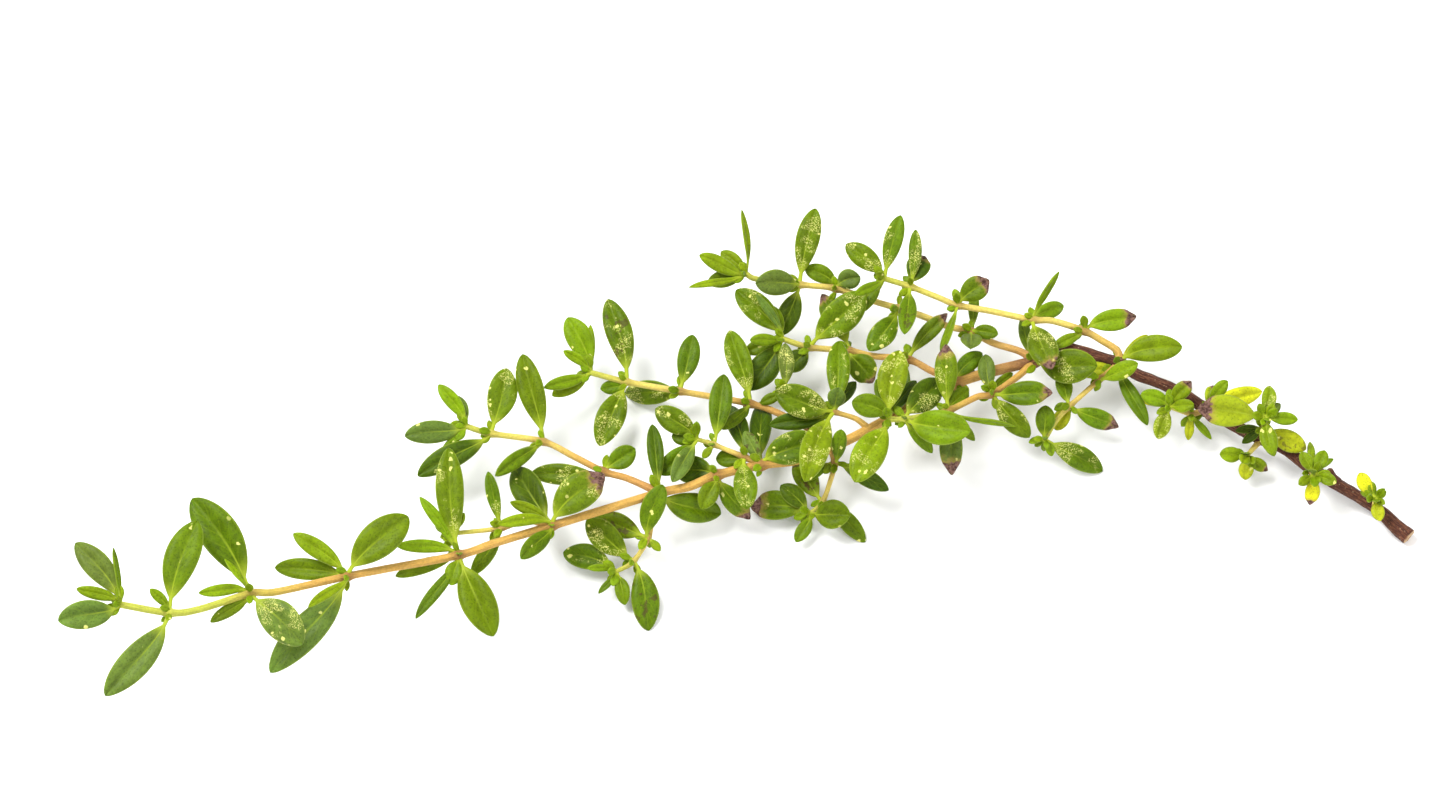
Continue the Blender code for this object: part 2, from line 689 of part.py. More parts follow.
# Leaves of the left branch.
whorl("left_leaves_1", left, 3, [
    Leaf((-2.5, 9.1, 2.5), 3.0),
    Leaf((-3.4, -5.0, 2.2), 1.5),
])
whorl("left_leaves_2", left, 4, [
    Leaf((1.6, 7.0, 2.0), 2.7),
    Leaf((-6.9, 2.6, -5.0), 3.0),
])
whorl("left_leaves_3", left, 5, [
    Leaf((-2.3, 10.2, 3.0), 3.3),
    Leaf((-3.3, -8.4, -1.5), 3.5),
    Leaf((-3.2, -0.2, -1.5), 1.7),
])
tip_cluster("left_tip_leaves", left, [
    Leaf((-2.8, 6.5, 2.5), 3.2),
    Leaf((0.0, 6.9, 0.0), 1.0),
    Leaf((-3.3, 1.7, 2.5), 1.2),
    Leaf((-5.7, -3.1, 1.5), 1.6),
    Leaf((-4.7, -3.1, -0.5), 1.9),
])

# Leaves of the far left branch.
whorl("far_left_leaves_1", far_left, 2, [
    Leaf((-9.1, 0.7, -2.0), 2.6),
    Leaf((3.9, 2.7, 1.0), 2.7),
])
whorl("far_left_leaves_2", far_left, 4, [
    Leaf((-2.5, 10.2, 4.0), 3.2),
    Leaf((-5.7, -7.2, 4.0), 1.9),
])
whorl("far_left_leaves_3", far_left, 5, [
    Leaf((2.0, 7.6, 3.0), 3.6),
    Leaf((-9.0, -5.5, -1.0), 3.0),
])
tip_cluster("far_left_tip_leaves", far_left, [
    Leaf((-3.4, 4.8, 2.0), 1.8),
    Leaf((-1.4, 4.7, -0.5), 1.6),
    Leaf((-7.5, -2.0, 1.0), 2.8),
    Leaf((-3.1, -3.7, -1.0), 1.1),
])

# Short shoots, each one solid with its leaves.
short_shoot("crossing_shoot", Stem(CROSSING_COURSE, SHOOT_TAPER), [
    (1, [Leaf((-1.9, 9.7, -4.0), 2.5), Leaf((0.3, -7.7, 0.5), 2.9), Leaf((-3.5, 0.6, -1.5), 2.2)]),
    (2, [Leaf((1.3, 8.6, 2.5), 2.8)]),
    (3, [
        Leaf((-5.1, 3.5, 1.5), 3.0),
        Leaf((-3.1, 0.7, -0.5), 1.9),
        Leaf((0.0, 0.8, 3.0), 1.0),
        Leaf((-3.0, -6.4, 0.5), 2.2),
        Leaf((-4.6, -4.2, -1.5), 2.8),
    ]),
], main, 23)
short_shoot("centre_shoot", Stem(CENTRE_COURSE, SHOOT_TAPER), [
    (2, [
        Leaf((0.6, 1.7, 3.0), 2.2),
        Leaf((0.7, 9.5, 1.0), 2.9),
        Leaf((-7.3, 1.4, 2.5), 3.9),
        Leaf((-8.0, -1.4, -1.0), 2.2),
        Leaf((-3.7, -11.7, 3.0), 3.6),
        Leaf((2.8, 5.4, -2.0), 1.6),
    ]),
    (4, [Leaf((0.2, 5.4, 2.5), 1.9), Leaf((-2.9, -1.3, -1.0), 1.3)]),
], main, 20, parent_collar=False)
short_shoot("hanging_shoot", Stem(HANGING_COURSE, SHOOT_TAPER), [
    (1, [
        Leaf((0.8, 2.2, 4.5), 1.8, bow=1.0),
        Leaf((-4.1, -1.5, -2.0), 1.5),
        Leaf((6.7, -2.8, -2.0), 2.1),
    ]),
    (3, [Leaf((-3.4, 5.4, 0.5), 2.8), Leaf((5.3, -4.3, -2.6), 2.2)]),
    (4, [
        Leaf((-3.6, 3.2, 1.5), 2.4),
        Leaf((-7.3, 1.8, -1.5), 3.6),
        Leaf((-1.7, -3.5, -1.0), 1.7),
        Leaf((5.0, -1.4, 2.0), 3.6),
    ]),
], main, 21, parent_collar=False)
short_shoot("low_shoot", Stem(LOW_COURSE, SHOOT_TAPER), [
    (2, [Leaf((1.8, 4.8, 5.0), 2.8), Leaf((-6.6, 3.5, -1.0), 3.0)]),
    (3, [Leaf((-5.8, 4.5, 2.5), 3.4), Leaf((1.9, -8.1, -3.0), 3.4)]),
    (4, [
        Leaf((-6.5, 3.3, -1.0), 3.1),
        Leaf((-3.5, -0.3, 1.5), 0.9),
        Leaf((-2.1, -2.8, -0.5), 0.8),
        Leaf((1.2, -4.1, -1.0), 1.8),
    ]),
], main, 26)
short_shoot("twin_shoot", Stem(TWIN_COURSE, SHOOT_TAPER), [
    (2, [Leaf((-1.6, 6.3, 3.0), 1.6), Leaf((-3.6, -4.9, -3.2), 1.9)]),
    (3, [Leaf((1.6, 1.8, 2.0), 1.1), Leaf((-2.0, 0.5, 1.0), 1.0)]),
], main, 28)
short_shoot("right_shoot", Stem(RIGHT_COURSE, SHOOT_TAPER), [
    (1, [Leaf((4.7, 0.6, 3.0), 2.1)]),
    (2, [Leaf((-1.2, 4.4, 0.5), 2.0), Leaf((6.1, -1.9, -2.0), 2.4), Leaf((-1.8, -2.3, -2.0), 2.0)]),
    (4, [Leaf((0.1, 3.5, 2.5), 2.4), Leaf((7.3, -2.0, -4.4), 2.9), Leaf((-2.0, -0.4, 0.0), 0.8)]),
], main, 12)
short_shoot("base_side_shoot", Stem(BASE_SIDE_COURSE, SHOOT_TAPER), [
    (1, [Leaf((-0.4, -2.7, -2.0), 1.1), Leaf((2.5, -2.4, -2.3), 0.9)]),
    (2, [
        Leaf((-3.6, 1.4, 1.0), 2.0),
        Leaf((2.9, -0.8, 2.0), 1.6),
        Leaf((-1.5, -3.4, -2.0), 2.1),
        Leaf((2.6, 2.3, 2.5), 2.0),
        Leaf((-4.4, 2.3, -1.5), 1.2),
    ]),
], main, 8)
short_shoot("base_upright_shoot", Stem(BASE_UPRIGHT_COURSE, SHOOT_TAPER), [
    (1, [
        Leaf((5.2, -2.4, -1.0), 2.6),
        Leaf((-3.5, 0.0, -0.5), 1.0),
        Leaf((-2.7, -1.5, -1.0), 1.1),
        Leaf((1.3, -2.8, -2.0), 1.5),
    ]),
    (2, [
        Leaf((0.7, 4.0, 1.0), 1.8),
        Leaf((4.1, -0.3, 0.0), 1.6),
        Leaf((2.0, 2.0, 0.0), 1.2),
        Leaf((0.9, -4.9, -0.5), 2.1),
        Leaf((-8.4, 0.7, 1.0), 3.9),
    ]),
], main, 6, parent_collar=False)
short_shoot("base_low_shoot", Stem(BASE_LOW_COURSE, SHOOT_TAPER), [
    (2, [
        Leaf((-3.4, -0.1, 0.5), 1.9),
        Leaf((-0.2, -2.6, -1.5), 1.8),
        Leaf((2.6, -1.6, -1.0), 1.5),
        Leaf((-0.7, -2.2, 2.0), 1.6),
    ]),
], main, 6, parent_collar=False)
short_shoot("base_front_shoot", Stem(BASE_FRONT_COURSE, SHOOT_TAPER), [
    (1, [Leaf((0.0, 4.8, -1.0), 0.9), Leaf((2.8, 1.8, 0.0), 0.8)]),
    (2, [
        Leaf((-1.6, 2.7, 1.0), 1.5),
        Leaf((1.4, 2.9, 1.0), 1.7),
        Leaf((-2.0, -1.7, 0.5), 1.2),
        Leaf((2.7, -1.4, 0.5), 1.5),
        Leaf((-0.5, -2.9, -2.5), 1.8),
    ]),
], main, 4, parent_collar=False)
short_shoot("base_end_shoot", Stem(BASE_END_COURSE, SHOOT_TAPER), [
    (2, [
        Leaf((-1.9, 3.1, 1.0), 1.8),
        Leaf((-1.7, 1.2, 0.0), 1.1),
        Leaf((1.4, 0.5, 1.0), 0.8),
        Leaf((0.6, -2.9, -0.5), 1.6),
    ]),
], main, 2, parent_collar=False, colour=OLD_LEAF_GREEN)


def place_in_scene(bodies):
    """Makes the objects in metres, with the origin under the middle of the sprig."""
    for stray in list(bpy.data.objects):
        bpy.data.objects.remove(stray, do_unlink=True)
    every = [corner for body in bodies for corner in body.corners]
    low = Vector(min(corner[axis] for corner in every) for axis in range(3))
    high = Vector(max(corner[axis] for corner in every) for axis in range(3))
    origin = Vector(((low.x + high.x) / 2, (low.y + high.y) / 2, low.z))
    for body in bodies:
        mesh = bpy.data.meshes.new(body.name)
        mesh.from_pydata([(corner - origin) * MM for corner in body.corners], [], body.faces)
        shell = bmesh.new()
        shell.from_mesh(mesh)
        bmesh.ops.recalc_face_normals(shell, faces=shell.faces)
        shell.to_mesh(mesh)
        shell.free()
        mesh.polygons.foreach_set("use_smooth", [True] * len(mesh.polygons))
        mesh.materials.append(surface(body))
        bpy.context.scene.collection.objects.link(bpy.data.objects.new(body.name, mesh))


def surface(body):
    """The body's own plain material."""
    material = bpy.data.materials.new(body.name + "_surface")
    material.use_nodes = True
    shader = material.node_tree.nodes["Principled BSDF"]
    shader.inputs["Base Color"].default_value = (*body.colour, 1.0)
    shader.inputs["Roughness"].default_value = body.roughness
    shader.inputs["Metallic"].default_value = 0.0
    return material


place_in_scene(BODIES)
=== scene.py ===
"""Looks of the cut thyme sprig: leaves, stems, buds and their surfaces, on a pale studio floor.

The courses and leaf reaches are in plan millimetres: X towards the cut end, Y across, Z up. The plan is
set into the frame by matching the lowest corner of its leaf tips to the frame's own lowest corner.
"""

import math
import random

import bpy
import numpy as np
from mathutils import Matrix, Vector, noise


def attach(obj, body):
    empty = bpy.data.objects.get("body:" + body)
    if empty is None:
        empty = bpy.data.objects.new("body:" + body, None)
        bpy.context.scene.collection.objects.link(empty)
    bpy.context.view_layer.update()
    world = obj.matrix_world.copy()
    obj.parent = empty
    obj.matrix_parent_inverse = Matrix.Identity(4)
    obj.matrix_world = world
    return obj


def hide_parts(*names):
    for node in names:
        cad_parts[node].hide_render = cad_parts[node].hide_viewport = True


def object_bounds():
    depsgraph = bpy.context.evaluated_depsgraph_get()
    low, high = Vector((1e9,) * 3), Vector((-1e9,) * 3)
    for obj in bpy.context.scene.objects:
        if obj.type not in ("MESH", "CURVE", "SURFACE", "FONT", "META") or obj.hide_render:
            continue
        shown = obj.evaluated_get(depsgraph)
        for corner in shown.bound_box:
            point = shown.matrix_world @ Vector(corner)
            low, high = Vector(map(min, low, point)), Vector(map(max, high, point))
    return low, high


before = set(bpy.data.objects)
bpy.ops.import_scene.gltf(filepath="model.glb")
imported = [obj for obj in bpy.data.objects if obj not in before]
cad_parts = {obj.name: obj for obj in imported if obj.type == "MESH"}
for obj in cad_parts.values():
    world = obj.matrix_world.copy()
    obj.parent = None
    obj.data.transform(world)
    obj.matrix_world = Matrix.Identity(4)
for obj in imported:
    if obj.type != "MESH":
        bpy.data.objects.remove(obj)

FRAME_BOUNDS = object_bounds()
MM = 0.001
# The way that the upper sides of leaves face, and the way for a leaf that points along it.
UPPER_SIDE = np.array((0.0, -0.5, 0.87))
SPARE_UPPER_SIDE = np.array((0.0, 0.87, 0.5))
draw = random.Random(7)

# Courses of the stems, from where each starts to its tip.
COURSES = {
    "main": [
        (85.0, -19.8, 1.1), (83.6, -18.6, 1.4), (80.9, -16.1, 1.9), (76.8, -13.5, 2.5),
        (73.0, -11.1, 3.0), (69.6, -8.5, 3.4), (67.0, -7.3, 3.6), (63.8, -5.6, 3.8),
        (60.2, -3.3, 4.1), (57.6, -1.5, 4.4), (54.8, -0.2, 4.8), (51.7, 1.0, 5.2),
        (49.4, 2.4, 5.5), (44.9, 3.9, 5.9), (42.8, 4.4, 6.0), (40.8, 3.8, 6.0),
        (38.8, 2.5, 6.0), (33.3, 0.8, 6.2), (29.1, -0.9, 6.4), (24.8, -3.4, 6.6),
        (18.2, -7.8, 6.9), (13.4, -10.5, 7.0), (9.0, -12.3, 7.0), (4.8, -13.0, 7.1),
        (-0.7, -14.6, 7.3), (-4.0, -16.2, 7.4), (-7.7, -17.2, 7.5), (-14.9, -20.1, 8.2),
        (-21.0, -22.7, 9.0), (-27.8, -26.1, 10.8), (-32.3, -28.5, 12.0), (-41.5, -31.8, 14.3),
        (-45.7, -33.4, 15.5), (-54.1, -37.2, 18.5), (-57.3, -38.0, 19.5), (-63.3, -41.3, 21.5),
        (-66.8, -42.3, 22.5), (-72.7, -42.0, 24.0),
    ],
    "upper": [
        (49.4, 2.4, 5.5), (49.2, 3.8, 6.2), (47.4, 4.9, 6.8), (45.0, 6.0, 7.5),
        (41.2, 7.0, 8.2), (38.6, 7.0, 8.5), (33.4, 7.9, 9.1), (29.3, 8.5, 9.5),
        (27.0, 9.4, 9.8), (23.4, 10.8, 10.2), (20.1, 11.5, 11.0),
    ],
    "middle": [
        (38.8, 2.5, 6.0), (37.1, 3.7, 6.3), (33.8, 4.6, 6.8), (31.0, 6.0, 7.2),
        (28.0, 6.7, 7.5), (24.8, 8.0, 7.8), (22.0, 8.9, 8.0), (18.8, 9.9, 8.2),
        (14.2, 11.5, 8.5), (9.6, 11.8, 9.0), (4.3, 12.0, 10.0), (2.9, 12.5, 10.5),
    ],
    "inner": [
        (29.1, -0.9, 6.4), (25.9, 0.9, 6.4), (23.1, 2.5, 6.4), (18.8, 3.1, 6.2),
        (15.7, 3.9, 6.2), (10.9, 4.2, 6.5), (7.4, 4.9, 7.4),
    ],
    "front": [
        (38.8, 2.5, 6.0), (36.8, 0.0, 6.6), (33.5, -3.1, 7.5), (31.6, -3.7, 7.8),
        (28.0, -5.9, 8.2), (25.3, -6.8, 8.6), (22.6, -7.6, 9.0), (20.6, -7.8, 9.4),
    ],
    "left": [
        (13.4, -10.5, 7.0), (11.5, -8.1, 6.6), (7.3, -5.2, 6.0), (3.4, -3.4, 5.6),
        (-5.3, -1.4, 5.2), (-12.0, 0.1, 5.0), (-16.5, 1.2, 5.4),
    ],
    "far_left": [
        (-7.7, -17.2, 7.5), (-11.7, -15.0, 7.2), (-14.7, -13.9, 7.0), (-18.3, -11.7, 6.8),
        (-22.3, -9.5, 6.8), (-28.7, -8.7, 7.4), (-31.8, -8.0, 8.0),
    ],
    "crossing_shoot": [(4.8, -13.0, 7.1), (2.7, -12.3, 7.8), (-1.1, -10.8, 8.3), (-3.2, -10.2, 8.6)],
    "centre_shoot": [
        (18.2, -7.8, 6.9), (16.5, -6.7, 7.6), (13.8, -5.9, 8.0), (11.7, -4.4, 7.8), (7.6, -2.6, 7.4),
    ],
    "hanging_shoot": [
        (13.4, -10.5, 7.0), (13.9, -11.8, 5.5), (13.6, -12.9, 4.5), (12.4, -15.8, 2.8),
        (10.8, -17.4, 2.6),
    ],
    "low_shoot": [
        (-7.7, -17.2, 7.5), (-8.6, -20.0, 6.2), (-9.2, -22.0, 4.6), (-11.0, -24.5, 3.2),
        (-13.2, -25.7, 2.7),
    ],
    "twin_shoot": [(-21.0, -22.7, 9.0), (-24.3, -22.6, 10.0), (-27.2, -24.0, 10.7), (-33.2, -25.6, 12.2)],
    "right_shoot": [
        (49.4, 2.4, 5.5), (46.9, -0.3, 6.2), (43.2, -3.4, 5.0), (41.5, -5.4, 4.8), (40.0, -8.0, 4.6),
    ],
    "base_side_shoot": [(60.2, -3.3, 4.1), (58.3, -4.4, 4.9), (55.6, -3.9, 5.6)],
    "base_upright_shoot": [(67.0, -7.3, 3.6), (67.2, -7.0, 5.6), (67.2, -6.8, 8.0)],
    "base_low_shoot": [(67.0, -7.3, 3.6), (65.9, -8.6, 3.4), (65.1, -9.6, 3.4)],
    "base_front_shoot": [(73.0, -11.1, 3.0), (73.0, -12.4, 4.4), (73.2, -13.8, 6.0)],
    "base_end_shoot": [(80.9, -16.1, 1.9), (80.8, -16.2, 3.2), (80.7, -16.4, 4.6)],
}

# Leaves by piece: its course, its material slot, and the leaves at each course point. A leaf is its
# reach to the tip in X, Y and Z, widest width, look, and at times roll in degrees and bow.
# A look is a colour (g green, l light, d dark, k grey-green, o olive, y yellow) and its marks
# (s pale speckles, b dried brown tip, B brown blotches).
LEAVES = {
    "main_tip_leaves": ("main", "young_leaf", [(37, [
        (-5.5, 7.4, 2.0, 3.2, "k"), (-7.3, -2.8, 1.0, 3.4, "k"), (-5.2, 1.2, 1.8, 1.5, "l"),
        (-0.8, 6.2, 3.0, 1.2, "g", 60),
    ])]),
    "main_leaves_01": ("main", "leaf", [(36, [
        (3.3, 10.5, 4.0, 4.1, "g"), (-7.6, -9.8, -3.0, 3.7, "k"), (-2.3, 2.2, 2.0, 1.2, "l"),
    ])]),
    "main_leaves_02": ("main", "leaf", [(34, [
        (-7.1, 11.0, 4.0, 4.8, "g"), (6.4, -6.0, -2.0, 4.4, "ks"), (-3.0, 3.1, 3.0, 1.2, "l", 60),
        (-6.1, -1.3, 2.5, 1.4, "l"), (-4.7, -4.0, 0.0, 1.5, "g"),
    ])]),
    "main_leaves_03": ("main", "leaf", [(32, [
        (-9.3, -11.2, -4.0, 4.0, "k"), (7.4, 6.7, 3.0, 4.4, "g"), (-6.6, 4.3, 3.0, 2.2, "l"),
        (-9.0, 2.6, -2.5, 2.6, "g"), (-4.6, -5.4, 2.0, 1.2, "l"),
    ])]),
    "main_leaves_04": ("main", "leaf", [(30, [
        (-1.3, 12.3, 5.0, 3.4, "gs"), (4.3, -9.7, -3.0, 4.2, "g"), (-0.9, -3.7, -1.0, 2.2, "l"),
        (-4.8, 6.5, 3.0, 1.4, "l"), (-7.6, 0.2, 2.0, 1.6, "l"), (-7.8, -1.6, -2.5, 1.8, "g"),
        (-5.2, -7.8, -2.0, 1.5, "g"),
    ])]),
    "main_leaves_05": ("main", "leaf", [(28, [
        (6.5, 5.6, 3.0, 4.4, "gbs"), (-4.7, 8.9, -1.2, 3.8, "d"), (-5.1, 1.7, 3.0, 1.4, "l"),
        (-6.6, -1.7, 3.5, 1.5, "l"), (-3.7, -5.8, 2.0, 2.2, "g"),
    ])]),
    "main_leaves_06": ("main", "leaf", [(26, [
        (-1.0, 8.6, 2.0, 2.0, "d"), (7.5, -0.2, -5.0, 3.6, "g"),
    ])]),
    "main_leaves_07": ("main", "leaf", [(24, [
        (-5.2, 1.8, -2.0, 3.4, "d"), (-1.9, -4.1, -1.2, 2.4, "g"), (4.1, -4.0, -4.0, 2.6, "gb"),
    ])]),
    "main_leaves_08": ("main", "leaf", [(23, [
        (7.1, 2.8, 1.5, 4.0, "gs"), (0.2, 11.3, -3.6, 2.7, "d"), (-2.1, 4.2, 1.0, 1.8, "kB"),
    ])]),
    "main_leaves_09": ("main", "leaf", [(18, [
        (3.2, 3.8, 1.0, 2.2, "g"), (2.5, 2.8, -2.0, 1.6, "d"), (1.5, -0.7, -1.5, 1.2, "oB"),
    ])]),
    "main_leaves_10": ("main", "leaf", [(16, [
        (7.7, -2.8, 3.5, 4.3, "gs"), (-1.4, 6.9, -1.0, 1.5, "d"),
    ])]),
    "main_leaves_11": ("main", "yellow_leaf", [(12, [
        (7.8, 0.7, 3.0, 3.3, "l"), (-5.3, -0.8, -1.0, 2.0, "o"), (3.6, 3.6, 1.0, 1.2, "o"),
        (3.4, -8.4, -0.8, 1.9, "g"),
    ])]),
    "main_leaves_12": ("main", "yellow_leaf", [(8, [
        (7.1, 3.1, -1.0, 2.4, "y"), (2.6, 2.3, 3.0, 1.6, "l", 0, 1.0), (1.0, 3.6, -0.4, 1.6, "ob"),
    ])]),
    "upper_leaves_1": ("upper", "leaf", [(3, [
        (6.6, 1.5, 1.0, 2.7, "lb"), (-3.8, -2.2, -0.4, 1.4, "l"),
    ])]),
    "upper_leaves_2": ("upper", "leaf", [(5, [
        (3.3, 4.6, 4.0, 1.4, "l", 50), (2.3, -7.7, 1.0, 3.6, "gbs"), (4.0, 2.9, -1.5, 2.0, "l"),
    ])]),
    "upper_leaves_3": ("upper", "leaf", [(7, [
        (3.9, 2.5, 2.0, 3.0, "gb"), (-2.2, -7.5, 1.0, 1.4, "g", 50),
    ])]),
    "upper_leaves_4": ("upper", "leaf", [(9, [
        (-0.8, -7.5, 1.0, 2.2, "gB"), (0.7, 6.5, 3.0, 1.6, "gs"), (1.9, 4.4, 0.0, 2.9, "db"),
    ])]),
    "upper_tip_leaves": ("upper", "young_leaf", [(10, [
        (-4.7, 4.4, 1.0, 2.7, "gs"), (2.1, 6.8, 4.0, 2.3, "gs"), (-3.7, -3.9, 2.5, 1.3, "l"),
        (-4.2, -3.8, -2.5, 2.5, "g"),
    ])]),
    "middle_leaves_1": ("middle", "leaf", [(3, [
        (0.6, 6.7, -1.5, 1.3, "g"), (-0.2, -3.9, 2.5, 2.6, "k"), (3.3, -1.2, 1.5, 1.8, "g"),
    ])]),
    "middle_leaves_2": ("middle", "leaf", [(6, [(-3.8, -5.8, -0.5, 3.0, "gs")])]),
    "middle_leaves_3": ("middle", "leaf", [(8, [
        (-3.9, 2.6, 0.8, 2.2, "g"), (3.0, 0.8, 1.5, 2.5, "k"),
    ])]),
    "middle_leaves_4": ("middle", "leaf", [(9, [
        (2.0, 8.1, 5.0, 2.9, "gs"), (-2.5, -5.3, -3.7, 2.8, "d"), (-5.5, -1.9, 3.5, 3.2, "k"),
    ])]),
    "middle_tip_leaves": ("middle", "young_leaf", [(11, [
        (-0.5, 6.3, 5.0, 1.4, "l", 60), (-5.8, 1.2, 2.5, 1.9, "l"), (-3.1, 3.2, 0.0, 1.8, "l"),
        (-7.1, -2.9, 1.5, 0.9, "l"), (-4.8, -0.8, -1.0, 2.1, "g"),
    ])]),
    "inner_leaves_1": ("inner", "leaf", [(2, [
        (4.9, 5.2, 2.5, 2.0, "gb"), (-0.7, -5.8, -2.0, 1.7, "k"),
    ])]),
    "inner_leaves_2": ("inner", "leaf", [(4, [
        (-3.3, 7.6, 1.0, 2.9, "gb"), (3.0, -4.0, -1.2, 3.4, "gb"),
    ])]),
    "inner_leaves_3": ("inner", "leaf", [(5, [
        (6.9, 5.2, 4.5, 4.2, "gs"), (-2.8, -2.6, -1.5, 2.6, "d"),
    ])]),
    "inner_tip_leaves": ("inner", "young_leaf", [(6, [
        (-5.7, 5.9, 2.0, 3.3, "gs"), (-3.2, 4.1, 4.0, 1.0, "k"), (-1.6, 4.8, 0.0, 2.0, "g"),
        (-4.0, -1.4, 2.0, 1.5, "l"), (-4.6, -1.4, -1.0, 2.0, "g"), (-4.3, -5.8, -2.8, 3.6, "d"),
    ])]),
    "front_leaves_1": ("front", "leaf", [(2, [
        (7.4, -1.0, 2.0, 3.0, "gb"), (-0.8, 5.1, 1.0, 2.1, "k"), (4.6, -5.1, -2.0, 2.8, "gs"),
        (2.6, 3.9, -1.5, 1.2, "g"), (0.0, 0.5, 2.5, 1.0, "l"),
    ])]),
    "front_leaves_2": ("front", "leaf", [(4, [
        (-0.3, 7.5, 3.5, 2.8, "gbs"), (8.3, -1.4, -1.5, 1.3, "l", 60), (0.4, -7.5, -3.0, 2.8, "kb"),
        (3.3, -2.6, -3.0, 1.3, "g"), (2.5, 3.7, -1.0, 2.0, "g"),
    ])]),
    "front_leaves_3": ("front", "leaf", [(6, [
        (8.0, -3.2, 2.5, 4.3, "l"), (4.4, 6.2, -1.0, 3.6, "ds"), (3.4, -3.1, -3.0, 1.6, "g"),
    ])]),
    "front_tip_leaves": ("front", "young_leaf", [(7, [
        (1.3, 8.1, 3.0, 3.6, "ls"), (-4.6, 1.4, 2.0, 2.9, "g"), (-4.3, -9.0, 0.0, 4.0, "ls"),
        (3.5, 7.2, -3.0, 1.8, "d"), (-1.5, 5.7, 0.0, 1.5, "g"),
    ])]),
    "left_leaves_1": ("left", "leaf", [(3, [
        (-2.5, 9.1, 2.5, 3.0, "gs"), (-3.4, -5.0, 2.2, 1.5, "g"),
    ])]),
    "left_leaves_2": ("left", "leaf", [(4, [
        (1.6, 7.0, 2.0, 2.7, "g"), (-6.9, 2.6, -5.0, 3.0, "gs"),
    ])]),
    "left_leaves_3": ("left", "leaf", [(5, [
        (-2.3, 10.2, 3.0, 3.3, "gsB"), (-3.3, -8.4, -1.5, 3.5, "gs"), (-3.2, -0.2, -1.5, 1.7, "g"),
    ])]),
    "left_tip_leaves": ("left", "young_leaf", [(6, [
        (-2.8, 6.5, 2.5, 3.2, "l"), (0.0, 6.9, 0.0, 1.0, "l"), (-3.3, 1.7, 2.5, 1.2, "l"),
        (-5.7, -3.1, 1.5, 1.6, "l"), (-4.7, -3.1, -0.5, 1.9, "l"),
    ])]),
    "far_left_leaves_1": ("far_left", "leaf", [(2, [
        (-9.1, 0.7, -2.0, 2.6, "gs"), (3.9, 2.7, 1.0, 2.7, "g"),
    ])]),
    "far_left_leaves_2": ("far_left", "leaf", [(4, [
        (-2.5, 10.2, 4.0, 3.2, "g"), (-5.7, -7.2, 4.0, 1.9, "g"),
    ])]),
    "far_left_leaves_3": ("far_left", "leaf", [(5, [
        (2.0, 7.6, 3.0, 3.6, "gs"), (-9.0, -5.5, -1.0, 3.0, "d"),
    ])]),
    "far_left_tip_leaves": ("far_left", "young_leaf", [(6, [
        (-3.4, 4.8, 2.0, 1.8, "l"), (-1.4, 4.7, -0.5, 1.6, "k"), (-7.5, -2.0, 1.0, 2.8, "k"),
        (-3.1, -3.7, -1.0, 1.1, "l"),
    ])]),
    "crossing_shoot": ("crossing_shoot", "leaf", [
        (1, [(-1.9, 9.7, -4.0, 2.5, "d"), (0.3, -7.7, 0.5, 2.9, "gs"), (-3.5, 0.6, -1.5, 2.2, "g")]),
        (2, [(1.3, 8.6, 2.5, 2.8, "g")]),
        (3, [
            (-5.1, 3.5, 1.5, 3.0, "gs"), (-3.1, 0.7, -0.5, 1.9, "g"), (0.0, 0.8, 3.0, 1.0, "l"),
            (-3.0, -6.4, 0.5, 2.2, "k"), (-4.6, -4.2, -1.5, 2.8, "g"),
        ]),
    ]),
    "centre_shoot": ("centre_shoot", "leaf", [
        (2, [
            (0.6, 1.7, 3.0, 2.2, "k"), (0.7, 9.5, 1.0, 2.9, "gs"), (-7.3, 1.4, 2.5, 3.9, "gs"),
            (-8.0, -1.4, -1.0, 2.2, "d"), (-3.7, -11.7, 3.0, 3.6, "ls"), (2.8, 5.4, -2.0, 1.6, "d"),
        ]),
        (4, [(0.2, 5.4, 2.5, 1.9, "ks"), (-2.9, -1.3, -1.0, 1.3, "g")]),
    ]),
    "hanging_shoot": ("hanging_shoot", "leaf", [
        (1, [
            (0.8, 2.2, 4.5, 1.8, "g", 0, 1.0), (-4.1, -1.5, -2.0, 1.5, "g"), (6.7, -2.8, -2.0, 2.1, "d"),
        ]),
        (3, [(-3.4, 5.4, 0.5, 2.8, "gB"), (5.3, -4.3, -2.6, 2.2, "g")]),
        (4, [
            (-3.6, 3.2, 1.5, 2.4, "d"), (-7.3, 1.8, -1.5, 3.6, "gb"), (-1.7, -3.5, -1.0, 1.7, "g"),
            (5.0, -1.4, 2.0, 3.6, "g"),
        ]),
    ]),
    "low_shoot": ("low_shoot", "leaf", [
        (2, [(1.8, 4.8, 5.0, 2.8, "g"), (-6.6, 3.5, -1.0, 3.0, "gB")]),
        (3, [(-5.8, 4.5, 2.5, 3.4, "gs"), (1.9, -8.1, -3.0, 3.4, "gB")]),
        (4, [
            (-6.5, 3.3, -1.0, 3.1, "gs"), (-3.5, -0.3, 1.5, 0.9, "l"), (-2.1, -2.8, -0.5, 0.8, "g"),
            (1.2, -4.1, -1.0, 1.8, "g"),
        ]),
    ]),
    "twin_shoot": ("twin_shoot", "young_leaf", [
        (2, [(-1.6, 6.3, 3.0, 1.6, "gs"), (-3.6, -4.9, -3.2, 1.9, "g")]),
        (3, [(1.6, 1.8, 2.0, 1.1, "l"), (-2.0, 0.5, 1.0, 1.0, "l")]),
    ]),
    "right_shoot": ("right_shoot", "leaf", [
        (1, [(4.7, 0.6, 3.0, 2.1, "l")]),
        (2, [(-1.2, 4.4, 0.5, 2.0, "g"), (6.1, -1.9, -2.0, 2.4, "gb"), (-1.8, -2.3, -2.0, 2.0, "o")]),
